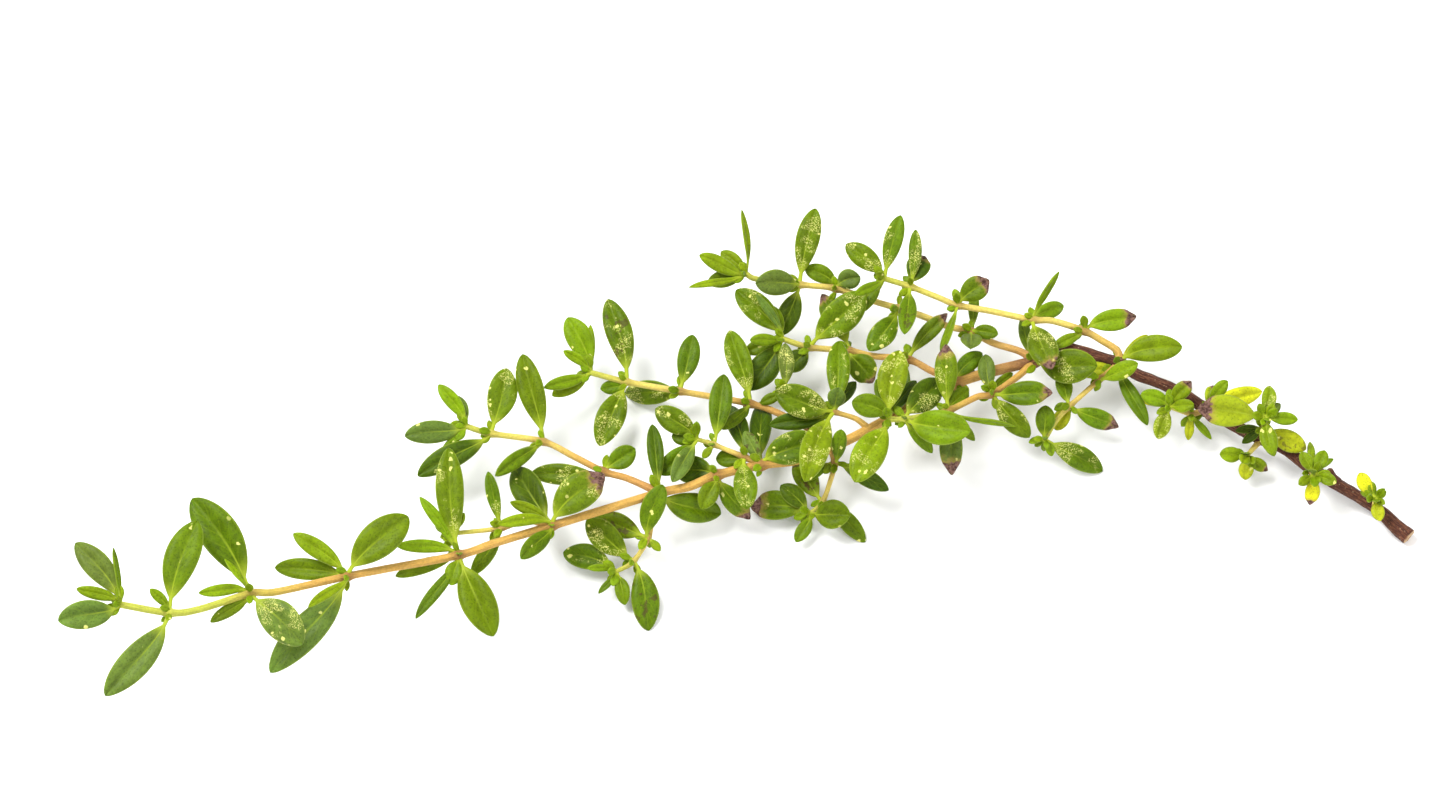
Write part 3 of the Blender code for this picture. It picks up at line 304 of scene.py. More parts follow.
        (4, [(0.1, 3.5, 2.5, 2.4, "g"), (7.3, -2.0, -4.4, 2.9, "gs"), (-2.0, -0.4, 0.0, 0.8, "l")]),
    ]),
    "base_side_shoot": ("base_side_shoot", "yellow_leaf", [
        (1, [(-0.4, -2.7, -2.0, 1.1, "o"), (2.5, -2.4, -2.3, 0.9, "l")]),
        (2, [
            (-3.6, 1.4, 1.0, 2.0, "l"), (2.9, -0.8, 2.0, 1.6, "l"), (-1.5, -3.4, -2.0, 2.1, "ls"),
            (2.6, 2.3, 2.5, 2.0, "lb"), (-4.4, 2.3, -1.5, 1.2, "y"),
        ]),
    ]),
    "base_upright_shoot": ("base_upright_shoot", "yellow_leaf", [
        (1, [
            (5.2, -2.4, -1.0, 2.6, "oB"), (-3.5, 0.0, -0.5, 1.0, "d"), (-2.7, -1.5, -1.0, 1.1, "d"),
            (1.3, -2.8, -2.0, 1.5, "l"),
        ]),
        (2, [
            (0.7, 4.0, 1.0, 1.8, "ls"), (4.1, -0.3, 0.0, 1.6, "l"), (2.0, 2.0, 0.0, 1.2, "k"),
            (0.9, -4.9, -0.5, 2.1, "l"), (-8.4, 0.7, 1.0, 3.9, "ob"),
        ]),
    ]),
    "base_low_shoot": ("base_low_shoot", "yellow_leaf", [
        (2, [
            (-3.4, -0.1, 0.5, 1.9, "l"), (-0.2, -2.6, -1.5, 1.8, "o"), (2.6, -1.6, -1.0, 1.5, "lb"),
            (-0.7, -2.2, 2.0, 1.6, "l"),
        ]),
    ]),
    "base_front_shoot": ("base_front_shoot", "yellow_leaf", [
        (1, [(0.0, 4.8, -1.0, 0.9, "l"), (2.8, 1.8, 0.0, 0.8, "l")]),
        (2, [
            (-1.6, 2.7, 1.0, 1.5, "l"), (1.4, 2.9, 1.0, 1.7, "l"), (-2.0, -1.7, 0.5, 1.2, "l"),
            (2.7, -1.4, 0.5, 1.5, "l"), (-0.5, -2.9, -2.5, 1.8, "yb"),
        ]),
    ]),
    "base_end_shoot": ("base_end_shoot", "yellow_leaf", [
        (2, [
            (-1.9, 3.1, 1.0, 1.8, "y"), (-1.7, 1.2, 0.0, 1.1, "l"), (1.4, 0.5, 1.0, 0.8, "l"),
            (0.6, -2.9, -0.5, 1.6, "o"),
        ]),
    ]),
}
STEM_NODES = {
    "main": "main_stem", "upper": "upper_branch", "middle": "middle_branch", "inner": "inner_branch",
    "front": "front_branch", "left": "left_branch", "far_left": "far_left_branch",
}


def leaf_tips():
    """Where every leaf ends, in the plan."""
    for line, _, bands in LEAVES.values():
        for point, leaves in bands:
            for leaf in leaves:
                yield np.array(COURSES[line][point]) + np.array(leaf[:3])


PLAN_CORNER = np.min(list(leaf_tips()), axis=0)
FRAME_SHIFT = np.array(FRAME_BOUNDS[0]) - PLAN_CORNER * MM

# Linear colours of the leaves, by the first letter of the look.
LEAF_COLOURS = {
    "g": (0.082, 0.138, 0.001), "l": (0.142, 0.218, 0.002), "d": (0.042, 0.078, 0.001),
    "k": (0.088, 0.136, 0.018), "o": (0.270, 0.320, 0.008), "y": (0.480, 0.480, 0.012),
}
BUD_LOOK = "l"
# Linear colours of the stems.
BARK = (0.120, 0.042, 0.022)
BROWN = (0.270, 0.130, 0.050)
TAN = (0.585, 0.342, 0.076)
ROSE = (0.540, 0.275, 0.085)
STRAW = (0.720, 0.570, 0.130)
LIME = (0.450, 0.470, 0.060)
NODE_BROWN = (0.225, 0.110, 0.032)
# Linear colours of the marks on the leaves and the bark.
VEIN_GREEN = (0.27, 0.36, 0.015)
RIB_GREEN = (0.34, 0.43, 0.02)
STALK_GREEN = (0.37, 0.44, 0.03)
RIM_GREEN = (0.24, 0.31, 0.03)
UNDER_GREEN = (0.145, 0.205, 0.045)
SPECKLE = (0.70, 0.68, 0.20)
BLOTCH = (0.060, 0.028, 0.014)
DRIED_EDGE = (0.34, 0.22, 0.06)
DEAD_DARK = (0.050, 0.022, 0.018)
DEAD_LIGHT = (0.200, 0.110, 0.085)
# The paler flaking of the bark, in a colour that also paints in the bark's highlight.
FLAKE_AND_HIGHLIGHT = (0.36, 0.165, 0.085)
CRACK = (0.028, 0.010, 0.009)
LENTICEL = (0.45, 0.30, 0.18)
WOOD_LIGHT = (0.52, 0.36, 0.20)
WOOD_DARK = (0.30, 0.17, 0.09)

# Stem colours as (part of the length, colour), and the part of the length that is woody.
ALL_WOODY = 2.0
STEM_COLOURS = {
    "main": ([(0.0, BARK), (0.27, BARK), (0.31, BROWN), (0.36, TAN), (0.86, TAN), (0.93, LIME),
              (1.0, LIME)], 0.30),
    "upper": ([(0.0, TAN), (0.3, STRAW), (0.7, STRAW), (1.0, LIME)], 0.0),
    "middle": ([(0.0, ROSE), (0.4, STRAW), (0.75, STRAW), (1.0, LIME)], 0.0),
    "inner": ([(0.0, ROSE), (0.4, TAN), (0.8, STRAW), (1.0, LIME)], 0.0),
    "front": ([(0.0, TAN), (0.5, TAN), (0.85, LIME), (1.0, LIME)], 0.0),
    "left": ([(0.0, ROSE), (0.4, TAN), (0.75, STRAW), (1.0, LIME)], 0.0),
    "far_left": ([(0.0, ROSE), (0.4, TAN), (0.7, STRAW), (1.0, LIME)], 0.0),
}
SHOOT_COLOURS = ([(0.0, TAN), (0.6, STRAW), (1.0, LIME)], 0.0)
STUB_COLOURS = ([(0.0, BARK), (0.85, BARK), (1.0, BROWN)], ALL_WOODY)

# Stem radii as (part of the length, radius).
CUT_END_RADIUS = 1.02
STEM_RADII = {
    "main": [
        (0.0, CUT_END_RADIUS), (0.006, 0.98), (0.03, 0.76), (0.24, 0.70), (0.34, 0.62), (0.62, 0.50),
        (1.0, 0.40),
    ],
    "front": [(0.0, 0.41), (1.0, 0.34)],
}
BRANCH_RADII = [(0.0, 0.42), (1.0, 0.34)]
SHOOT_RADII = [(0.0, 0.34), (1.0, 0.27)]
STUB_RADII = [(0.0, 0.75), (0.5, 0.50), (0.85, 0.46), (0.93, 0.42), (1.0, 0.25)]
STUB_COURSE = [(76.2, -13.0, 2.6), (75.7, -12.5, 3.2), (75.2, -11.9, 4.1)]
# Rings of the cut face, as (part of the radius, how far it stands out), from the bark to the middle.
CUT_RINGS = ((0.98, -0.10), (1.0, 0.02), (0.93, 0.10), (0.70, 0.13), (0.40, 0.10), (0.12, 0.16))
CUT_WOOD = (0.0, 0.5, 1.0, 1.0, 1.0, 1.0)
# Points round the main stem and its cut face, and round the other stems.
MAIN_AROUND = 28
BRANCH_AROUND = 16
SHOOT_AROUND = 14
STUB_AROUND = 18

# Spacing of the rings along the main stem, the other stems and the stub.
MAIN_STEP = 0.25
STEP = 0.3
STUB_STEP = 0.15

# Stem shape: swellings add a part of the radius within a reach in millimetres.
NODE_SWELLING = 0.42
NODE_REACH = 0.55
FLARE = 0.55
FLARE_REACH = 0.9
# Four soft ridges and unevenness, as parts of the radius.
SQUARENESS = 0.07
GREEN_LUMPS = 0.035
BARK_LUMPS = 0.13
# The part of the length over which the bark fades out.
BARK_FADE = 0.03
# How strong the brown of a node is, and its reach in millimetres.
NODE_STAIN = 0.8
NODE_STAIN_REACH = 1.1
# How fast the place that the surface reads runs along a stem.
PLACE_PER_MM = 0.1

# Leaf outline: the part of the length that is stalk, and how the blade's base and tip curve in.
STALK_PART = 0.14
BASE_CURVE = 0.86
TIP_CURVE = 0.68
# The stalk's half width in millimetres.
STALK_HALF_WIDTH = 0.26
# How far a dried tip is pinched in, and from which part of the length.
DRIED_PINCH = 0.24
DRIED_FROM = 0.84
# Past this part of the length the outline closes to a blunt point.
TIP_FROM = 0.995
TIP_BLUNTNESS = 0.35

# Leaf line, as parts of its length: out from the stem, along the span, and up.
STAND_OFF = 0.14
LEAVE_STEM = 0.16
ARCH_FROM = 0.62
ARCH_HEIGHT = 0.07

# Leaf relief, as parts of the half width.
HALF_DOME = 0.11
RIM_ROLL = 0.13
RIM_WAVE = 0.06
# Leaf grooves, thicknesses and ribs in millimetres. The midrib's thickness is added to the rim's.
RIB_GROOVE = 0.085
VEIN_GROOVE = 0.040
RIM_THICKNESS = 0.15
RIB_THICKNESS = 0.17
STALK_THICKNESS = 0.40
RIB_HEIGHT = 0.13
VEIN_HEIGHT = 0.03
RIM_REACH = 0.05
# The part of the length over which the blade rises from the stalk.
BLADE_FADE = 0.2
# Leaves narrower than the first width have shallower grooves, and than the second are thinner.
FULL_RELIEF_WIDTH = 3
NARROW_WIDTH = 1.5
NARROW_THICKNESS = 0.7
# Side veins: how many leave each side of the midrib, and how far they slant towards the tip.
VEIN_COUNT = 6.0
VEIN_SLANT = 1.9

# Sections of a leaf and points across it, for a full leaf and for a bud.
FULL_SECTIONS = (30, 17)
BUD_SECTIONS = (12, 9)
TIP_SECTIONS = (0.975, 0.992, 1.0)


def unit(vectors):
    return vectors / np.maximum(np.linalg.norm(vectors, axis=-1, keepdims=True), 1e-9)


def square_to(vector, headings):
    """The vector's part that is square to each heading, as a unit vector."""
    along = (headings @ vector)[:, None] * headings
    return unit(vector - along)


def taper(part, stops):
    """The value at each part of the length, between stops given as (part, value)."""
    return np.interp(part, [p for p, _ in stops], [value for _, value in stops])


class Course:
    """A smooth curve through its points, with its distance along and where each point falls on it."""

    def __init__(self, points, step):
        points = np.array(points, dtype=float)
        first = 2 * points[0] - points[1]
        last = 2 * points[-1] - points[-2]
        knots = np.vstack([first, points, last])
        line = []
        self.places = []
        for i in range(len(points) - 1):
            a, b, c, d = knots[i:i + 4]
            count = max(2, round(np.linalg.norm(c - b) / step))
            self.places.append(len(line))
            for t in np.arange(count) / count:
                line.append(0.5 * (2 * b + (c - a) * t + (2 * a - 5 * b + 4 * c - d) * t**2
                                   + (3 * b - a - 3 * c + d) * t**3))
        self.places.append(len(line))
        line.append(points[-1])
        self.line = np.array(line)
        lengths = np.linalg.norm(np.diff(self.line, axis=0), axis=1)
        self.distance = np.concatenate([[0.0], np.cumsum(lengths)])
        self.length = self.distance[-1]
        self.headings = unit(np.gradient(self.line, axis=0))


class Piece:
    """Rings of points lofted into closed shapes, with the values the surfaces read."""

    def __init__(self):
        self.points = []
        self.faces = []
        self.materials = []
        self.places = []
        self.tints = []
        self.traits = []
        self.count = 0

    def loft(self, rings, places, tints, traits, material):
        """Joins rings of points, shaped (stations, around, 3), and closes both ends."""
        stations, around = rings.shape[:2]
        start = self.count
        self.points.append(rings.reshape(-1, 3))
        self.places.append(places.reshape(-1, 3))
        self.tints.append(np.broadcast_to(tints, (stations, around, 3)).reshape(-1, 3))
        self.traits.append(np.broadcast_to(traits, (stations, around, 4)).reshape(-1, 4))
        grid = start + np.arange(stations * around).reshape(stations, around)
        ahead = np.roll(grid, -1, axis=1)
        quads = np.stack([grid[:-1], ahead[:-1], ahead[1:], grid[1:]], axis=-1).reshape(-1, 4)
        self.faces += [tuple(int(i) for i in quad) for quad in quads]
        self.faces.append(tuple(int(i) for i in grid[0][::-1]))
        self.faces.append(tuple(int(i) for i in grid[-1]))
        self.materials += [material] * (len(quads) + 2)
        self.count += stations * around


def lumps(turn, distance, seed):
    """Unevenness of a stem's surface, coarse and fine, drawn out along the stem."""
    coarse = Vector((math.cos(turn) * 2.6 + seed, math.sin(turn) * 2.6, distance * 0.28))
    fine = Vector((math.cos(turn) * 7 + seed, math.sin(turn) * 7, distance * 0.8))
    return noise.noise(coarse) + 0.5 * noise.noise(fine)


def stem_rings(course, radii, nodes, woody, around, seed, flare):
    """Rings of a stem with swollen nodes, a squarish green part and a fissured woody part."""
    part = course.distance / course.length
    radius = taper(part, radii)
    if flare:
        radius = radius * (1 + FLARE * np.exp(-course.distance / FLARE_REACH))
    for place in nodes:
        gap = (course.distance - course.distance[place]) / NODE_REACH
        radius = radius * (1 + NODE_SWELLING * np.exp(-gap**2))
    turns = 2 * np.pi * np.arange(around) / around
    bark = np.clip((woody + BARK_FADE - part) / BARK_FADE, 0, 1) if woody else np.zeros_like(part)
    square = 1 + SQUARENESS * (1 - bark[:, None]) * np.cos(4 * turns)[None, :]
    rough = np.array([[lumps(t, s, seed) for t in turns] for s in course.distance])
    lump = 1 + rough * (GREEN_LUMPS + BARK_LUMPS * bark[:, None])
    side = square_to(UPPER_SIDE, course.headings)
    front = np.cross(course.headings, side)
    spread = np.cos(turns)[None, :, None] * side[:, None] + np.sin(turns)[None, :, None] * front[:, None]
    rings = course.line[:, None] + (radius[:, None] * square * lump)[..., None] * spread
    places = np.zeros(rings.shape)
    places[..., 0] = course.distance[:, None] * PLACE_PER_MM
    places[..., 1] = np.cos(turns)
    places[..., 2] = np.sin(turns)
    return rings, places, part, bark


def add_stem(piece, course, radii, colours, nodes, around, flare=True):
    """One stem, coloured along its length, with browner nodes where it is tan."""
    stops, woody = colours
    seed = draw.uniform(0, 50)
    rings, places, part, bark = stem_rings(course, radii, nodes, woody, around, seed, flare)
    tint = np.stack([taper(part, [(p, colour[i]) for p, colour in stops]) for i in range(3)], -1)
    for place in nodes:
        gap = (course.distance - course.distance[place]) / NODE_STAIN_REACH
        near = np.exp(-gap**2)[:, None]
        tan = np.clip((1 - tint[:, 1:2] / tint[:, :1]) / 0.3, 0, 1)
        near = NODE_STAIN * near * tan * (1 - bark[:, None])
        tint = tint * (1 - near) + np.array(NODE_BROWN) * near
    traits = np.zeros((len(part), 1, 4))
    traits[:, 0, 0] = bark
    piece.loft(rings, places, tint[:, None], traits, "stem")


def outline(parts, width, dried):
    """Half width of a leaf along its length: a narrow stalk, then a blade; a dried tip is pinched."""
    blade = np.clip((parts - STALK_PART) / (1 - STALK_PART), 0, 1)
    widest = BASE_CURVE / (BASE_CURVE + TIP_CURVE)
    peak = widest**BASE_CURVE * (1 - widest) ** TIP_CURVE
    full = blade**BASE_CURVE * (1 - blade) ** TIP_CURVE / peak
    stalk = STALK_HALF_WIDTH * np.clip(1 - (parts - 0.05) / 0.5, 0, 1)
    pinch = 1 - (DRIED_PINCH if dried else 0.0) * np.clip((parts - DRIED_FROM) / 0.08, 0, 1)
    blunt = np.where(parts > TIP_FROM, TIP_BLUNTNESS, 1.0)
    return np.sqrt((full * pinch * width / 2) ** 2 + stalk**2) * blunt


def carried_upper(along):
    """The upper side at each section, chosen past the middle and carried both ways without turning."""
    middle = int(0.6 * len(along))
    facing = UPPER_SIDE if abs(along[middle] @ UPPER_SIDE) < 0.95 else SPARE_UPPER_SIDE
    upper = np.zeros_like(along)
    upper[middle] = square_to(facing, along[middle:middle + 1])[0]
    for i in range(middle + 1, len(along)):
        upper[i] = square_to(upper[i - 1], along[i:i + 1])[0]
    for i in range(middle - 1, -1, -1):
        upper[i] = square_to(upper[i + 1], along[i:i + 1])[0]
    return upper


def leaf_parts(sections):
    """Parts of the length that have a section, a little closer in the middle and close at the tip."""
    spacing = np.linspace(0, 1, sections)
    parts = spacing + 0.10 * np.sin(2 * np.pi * spacing) / (2 * np.pi)
    return np.sort(np.concatenate([parts[:-1], TIP_SECTIONS]))


def leaf_line(start, outward, tip, parts, bow):
    """A leaf's line and headings: it leaves the stem outwards, arches up by the bow and meets the tip."""
    span = tip - start
    length = float(np.linalg.norm(span))
    lift = np.array((0.0, 0.0, ARCH_HEIGHT * length if bow is None else bow))
    first = start + STAND_OFF * length * outward + LEAVE_STEM * span + 0.5 * lift
    second = start + ARCH_FROM * span + lift
    t = parts[:, None]
    path = (1 - t) ** 3 * start + 3 * (1 - t) ** 2 * t * first + 3 * (1 - t) * t**2 * second + t**3 * tip
    return path, unit(np.gradient(path, parts, axis=0))


def rolled(upper, along, twist):
    """The upper and side directions, turned about the leaf's line by the twist."""
    side = np.cross(upper, along)
    cos = np.cos(twist)[:, None]
    sin = np.sin(twist)[:, None]
    return upper * cos + np.cross(along, upper) * sin, side * cos + np.cross(along, side) * sin


def leaf_relief(t, v, half, width, fold, phase):
    """The blade's rise, thickness and underside ribs at each part t of its length and v of its width."""
    off_rib = np.abs(v)
    blade = np.clip((t - STALK_PART) / BLADE_FADE, 0, 1)
    vein_phase = (t * VEIN_COUNT - off_rib * VEIN_SLANT) % 1.0
    veins = np.exp(-((vein_phase - 0.5) / 0.13) ** 2) * np.clip(off_rib * 5, 0, 1)
    veins = veins * np.clip((1 - off_rib) * 4, 0, 1)
    rise = half * (fold * off_rib + HALF_DOME * np.sin(np.pi * off_rib) - RIM_ROLL * off_rib**7) * blade
    rise = rise + RIM_WAVE * half * np.sin(t * 9 + phase + 2.0 * v) * off_rib**2 * blade
    grooves = RIB_GROOVE * np.exp(-(v / 0.11) ** 2) + VEIN_GROOVE * veins
    rise = rise - blade * min(1.0, width / FULL_RELIEF_WIDTH) * grooves
    stalk = (1 - blade) * STALK_THICKNESS * np.sqrt(np.clip(1 - 0.9 * off_rib**2, 0.05, 1))
    thick = (RIM_THICKNESS + RIB_THICKNESS * (1 - off_rib**3)) * blade + stalk
    thick = thick * np.clip((1.02 - t) / 0.2, 0.35, 1) * (NARROW_THICKNESS if width < NARROW_WIDTH else 1.0)
    rib = blade * RIB_HEIGHT * np.exp(-(v / 0.10) ** 2) * (1 - 0.8 * t) + VEIN_HEIGHT * blade * veins
    return rise, thick, rib


def leaf_places(shape, parts, across):
    """What the surface reads at each point: along the leaf, across it, and 0 above to 1 below."""
    fine = len(across)
    places = np.zeros(shape)
    places[..., 0] = parts[:, None]
    places[:, :fine, 1] = across[::-1]
    places[:, fine, 1] = -1
    places[:, fine + 1:-1, 1] = across
    places[:, -1, 1] = 1
    places[:, fine, 2] = 0.5
    places[:, fine + 1:-1, 2] = 1
    places[:, -1, 2] = 0.5
    return places


def add_leaf(piece, start, outward, tip, width, look, roll=0.0, bow=None, sections=FULL_SECTIONS):
    """One leaf as a thin closed blade with a folded, quilted face, a raised rib below and a rolled rim."""
    stations, fine = sections
    parts = leaf_parts(stations)
    path, along = leaf_line(start, outward, tip, parts, bow)
    twist = math.radians(roll) + math.radians(draw.uniform(-14, 14)) * (parts - 0.3)
    upper, side = rolled(carried_upper(along), along, twist)
    half = outline(parts, width, "b" in look)
    fold = draw.uniform(0.10, 0.38)
    phase = draw.uniform(0, 6.28)
    sway = draw.uniform(-0.09, 0.09)
    across = np.sin(np.linspace(-np.pi / 2, np.pi / 2, fine))
    rise, thick, rib = leaf_relief(parts[:, None], across[None, :], half[:, None], width, fold, phase)
    centre = path + (sway * width * np.sin(np.pi * parts))[:, None] * side
    flat = centre[:, None] + (half[:, None] * across)[..., None] * side[:, None]
    top = flat + (rise + thick / 2)[..., None] * upper[:, None]
    low = flat + (rise - thick / 2 - rib)[..., None] * upper[:, None]
    rim = RIM_REACH * np.clip(half / 0.5, 0.2, 1)[:, None] * side
    right = (top[:, -1] + low[:, -1]) / 2 + rim
    left = (top[:, 0] + low[:, 0]) / 2 - rim
    rings = np.concatenate([top[:, ::-1], left[:, None], low, right[:, None]], axis=1)
    tint = np.array(LEAF_COLOURS[look[0]]) * draw.uniform(0.86, 1.16)
    tint = tint * np.array((draw.uniform(0.92, 1.12), 1.0, 1.0))
    # The dried tip, blotches and speckles, and a fourth value that no surface reads.
    traits = np.array((
        draw.uniform(0.4, 1.0) if "b" in look else 0.0,
        draw.uniform(0.6, 1.0) if "B" in look else 0.0,
        draw.uniform(0.7, 1.0) if "s" in look else draw.uniform(0.05, 0.3),
        draw.random(),
    ))
    piece.loft(rings, leaf_places(rings.shape, parts, across), tint, traits, "leaf")


def add_buds(piece, centre, heading, radius, count, size):
    """Very small unopened leaves that stand round a node or a growing tip."""
    side = square_to(UPPER_SIDE, heading[None])[0]
    front = np.cross(heading, side)
    turn = draw.uniform(0, 6.28)
    for index in range(count):
        angle = turn + 2 * math.pi * index / count + draw.uniform(-0.3, 0.3)
        outward = math.cos(angle) * side + math.sin(angle) * front
        length = size * draw.uniform(0.7, 1.15)
        lean = draw.uniform(0.35, 0.9)
        start = centre + outward * radius * 0.5
        tip = centre + outward * (radius + length * lean) + heading * length * (1.1 - lean)
        add_leaf(piece, start, outward, tip, length * 0.42, BUD_LOOK, bow=0.1, sections=BUD_SECTIONS)


def finish_piece(piece, node):
    """Makes the object in the frame, named after the part it stands for, and hides that part."""
    name = node + "_surface"
    points = np.vstack(piece.points) * MM + FRAME_SHIFT
    mesh = bpy.data.meshes.new(name)
    mesh.from_pydata(points.tolist(), [], piece.faces)
    order = sorted(set(piece.materials))
    for material in order:
        mesh.materials.append(MATERIALS[material])
    mesh.polygons.foreach_set("material_index", [order.index(m) for m in piece.materials])
    mesh.polygons.foreach_set("use_smooth", [len(face) == 4 for face in piece.faces])
    place = mesh.attributes.new("place", "FLOAT_VECTOR", "POINT")
    place.data.foreach_set("vector", np.vstack(piece.places).ravel())
    tint = mesh.attributes.new("tint", "FLOAT_COLOR", "POINT")
    opaque = np.ones((len(points), 1))
    tint.data.foreach_set("color", np.hstack([np.vstack(piece.tints), opaque]).ravel())
    traits = mesh.attributes.new("traits", "FLOAT_COLOR", "POINT")
    traits.data.foreach_set("color", np.vstack(piece.traits).ravel())
    made = bpy.data.objects.new(name, mesh)
    bpy.context.scene.collection.objects.link(made)
    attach(made, "root")
    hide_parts(node)


class Graph:
    """Shorthand for the nodes of one material."""

    def __init__(self, name):
        self.material = bpy.data.materials.new(name)
        self.material.use_nodes = True
        self.tree = self.material.node_tree
        self.shader = self.tree.nodes["Principled BSDF"]
        self.where = self.node("ShaderNodeTexCoord", "Object")

    def put(self, socket, value):
        if isinstance(value, bpy.types.NodeSocket):
            self.tree.links.new(value, socket)
        elif isinstance(value, tuple) and socket.type == "RGBA":
            socket.default_value = (*value, 1.0)
        else:
            socket.default_value = value

    def node(self, kind, out=0, settings=None, **inputs):
        made = self.tree.nodes.new(kind)
        for key, value in (settings or {}).items():
            setattr(made, key, value)
        for key, value in inputs.items():
            self.put(made.inputs[key.replace("_", " ")], value)
        return made.outputs[out]

    def math(self, operation, first, second=0.0):
        made = self.tree.nodes.new("ShaderNodeMath")
        made.operation = operation
        self.put(made.inputs[0], first)
        self.put(made.inputs[1], second)
        return made.outputs[0]

    def add(self, first, second):
        return self.math("ADD", first, second)

    def less(self, first, second):
        return self.math("SUBTRACT", first, second)

    def product(self, first, *others):
        for other in others:
            first = self.math("MULTIPLY", first, other)
        return first

    def ramp(self, value, low, high, bottom=0.0, top=1.0):
        """Goes smoothly from bottom to top as the value goes from low to high."""
        made = self.tree.nodes.new("ShaderNodeMapRange")
        made.interpolation_type = "SMOOTHSTEP"
        for socket, amount in zip(made.inputs[:5], (value, low, high, bottom, top)):
            self.put(socket, amount)
        return made.outputs[0]

    def mix(self, amount, first, second, blend="MIX"):
        made = self.tree.nodes.new("ShaderNodeMix")
        made.data_type = "RGBA"
        made.blend_type = blend
        self.put(made.inputs[0], amount)
        self.put(made.inputs[6], first)
        self.put(made.inputs[7], second)
        return made.outputs[2]

    def times(self, colour, amount):
        """The colour brightened or darkened by an amount."""
        grey = self.node("ShaderNodeCombineColor", Red=amount, Green=amount, Blue=amount)
        return self.mix(1.0, colour, grey, "MULTIPLY")

    def noise(self, scale, detail=2.0, vector=None, roughness=0.5):
        return self.node("ShaderNodeTexNoise", Scale=scale, Detail=detail, Roughness=roughness,
                         Vector=vector or self.where)

    def cells(self, scale, out="Distance", vector=None):
        return self.node("ShaderNodeTexVoronoi", out, Scale=scale, Vector=vector or self.where)

    def attribute(self, name, out="Vector"):
        return self.node("ShaderNodeAttribute", out, {"attribute_name": name})

    def split(self, kind, value):
        """The parts of a vector or colour."""
        made = self.tree.nodes.new(kind)
        self.put(made.inputs[0], value)
        return made.outputs

    def read(self):
        """The values each mesh carries: place, traits and tint."""
        place = self.split("ShaderNodeSeparateXYZ", self.attribute("place"))
        traits = self.split("ShaderNodeSeparateColor", self.attribute("traits", "Color"))
        return place, traits, self.attribute("tint", "Color")

    def shade(self, **values):
        """Sets the shader's own inputs."""
        for key, value in values.items():
            self.put(self.shader.inputs[key.replace("_", " ")], value)

    def bump(self, heights):
        """Chains bumps given as (height, depth in metres, strength)."""
        normal = None
        for height, depth, strength in heights:
            inputs = {"Height": height, "Distance": depth, "Strength": strength}
            if normal is not None:
                inputs["Normal"] = normal
            normal = self.node("ShaderNodeBump", **inputs)
        self.shade(Normal=normal)


def leaf_green(g, tint, broad, fine, glands, along, off_rib, under):
    """The green of a leaf: mottled, with paler side veins, midrib, stalk and rim, and a greyer underside."""
    colour = g.times(tint, g.ramp(broad, 0.3, 0.7, 0.84, 1.15))
    colour = g.times(colour, g.ramp(fine, 0.3, 0.7, 0.90, 1.10))
    colour = g.times(colour, g.ramp(glands, 0.05, 0.45, 0.70, 1.08))
    vein_phase = g.math("FRACT", g.less(g.product(along, VEIN_COUNT), g.product(off_rib, VEIN_SLANT)))
    vein = g.ramp(g.math("ABSOLUTE", g.less(vein_phase, 0.5)), 0.02, 0.12, 1.0, 0.0)
    vein = g.product(vein, g.ramp(off_rib, 0.9, 0.2, 0.0, 0.12))
    colour = g.mix(vein, colour, VEIN_GREEN)
    rib = g.product(g.ramp(off_rib, 0.015, 0.09, 1.0, 0.0), g.ramp(along, 0.2, 0.8, 0.60, 0.06))
    colour = g.mix(rib, colour, RIB_GREEN)
    colour = g.mix(g.ramp(along, 0.06, 0.36, 0.92, 0.0), colour, STALK_GREEN)
    colour = g.mix(g.product(g.ramp(off_rib, 0.90, 0.99), 0.45), colour, RIM_GREEN)
    return g.mix(g.product(under, 0.55), colour, UNDER_GREEN)


def pale_marks(g, along, speckle):
    """Pale speckles where the surface was eaten, with fine scraped patches between them."""
    bent = g.mix(0.0007, g.where, g.node("ShaderNodeTexNoise", "Color", Scale=1500.0, Vector=g.where), "ADD")
    spots = g.cells(900.0, vector=bent)
    drawn = g.split("ShaderNodeSeparateColor", g.cells(900.0, "Color", vector=bent))
    spots = g.less(spots, g.product(drawn[1], 0.13))
    chosen = g.ramp(g.add(drawn[0], g.product(speckle, 0.50)), 0.98, 1.02)
    spot = g.product(g.ramp(spots, 0.09, 0.18, 1.0, 0.0), chosen)
    dust = g.ramp(g.noise(6500.0, 3.0), 0.50, 0.60)
    patch = g.ramp(g.noise(430.0, 2.0), 0.52, 0.60)
    dust = g.product(dust, patch, g.ramp(speckle, 0.2, 0.8))
    return g.product(g.math("MAXIMUM", spot, g.product(dust, 0.72)), g.ramp(along, 0.15, 0.3))


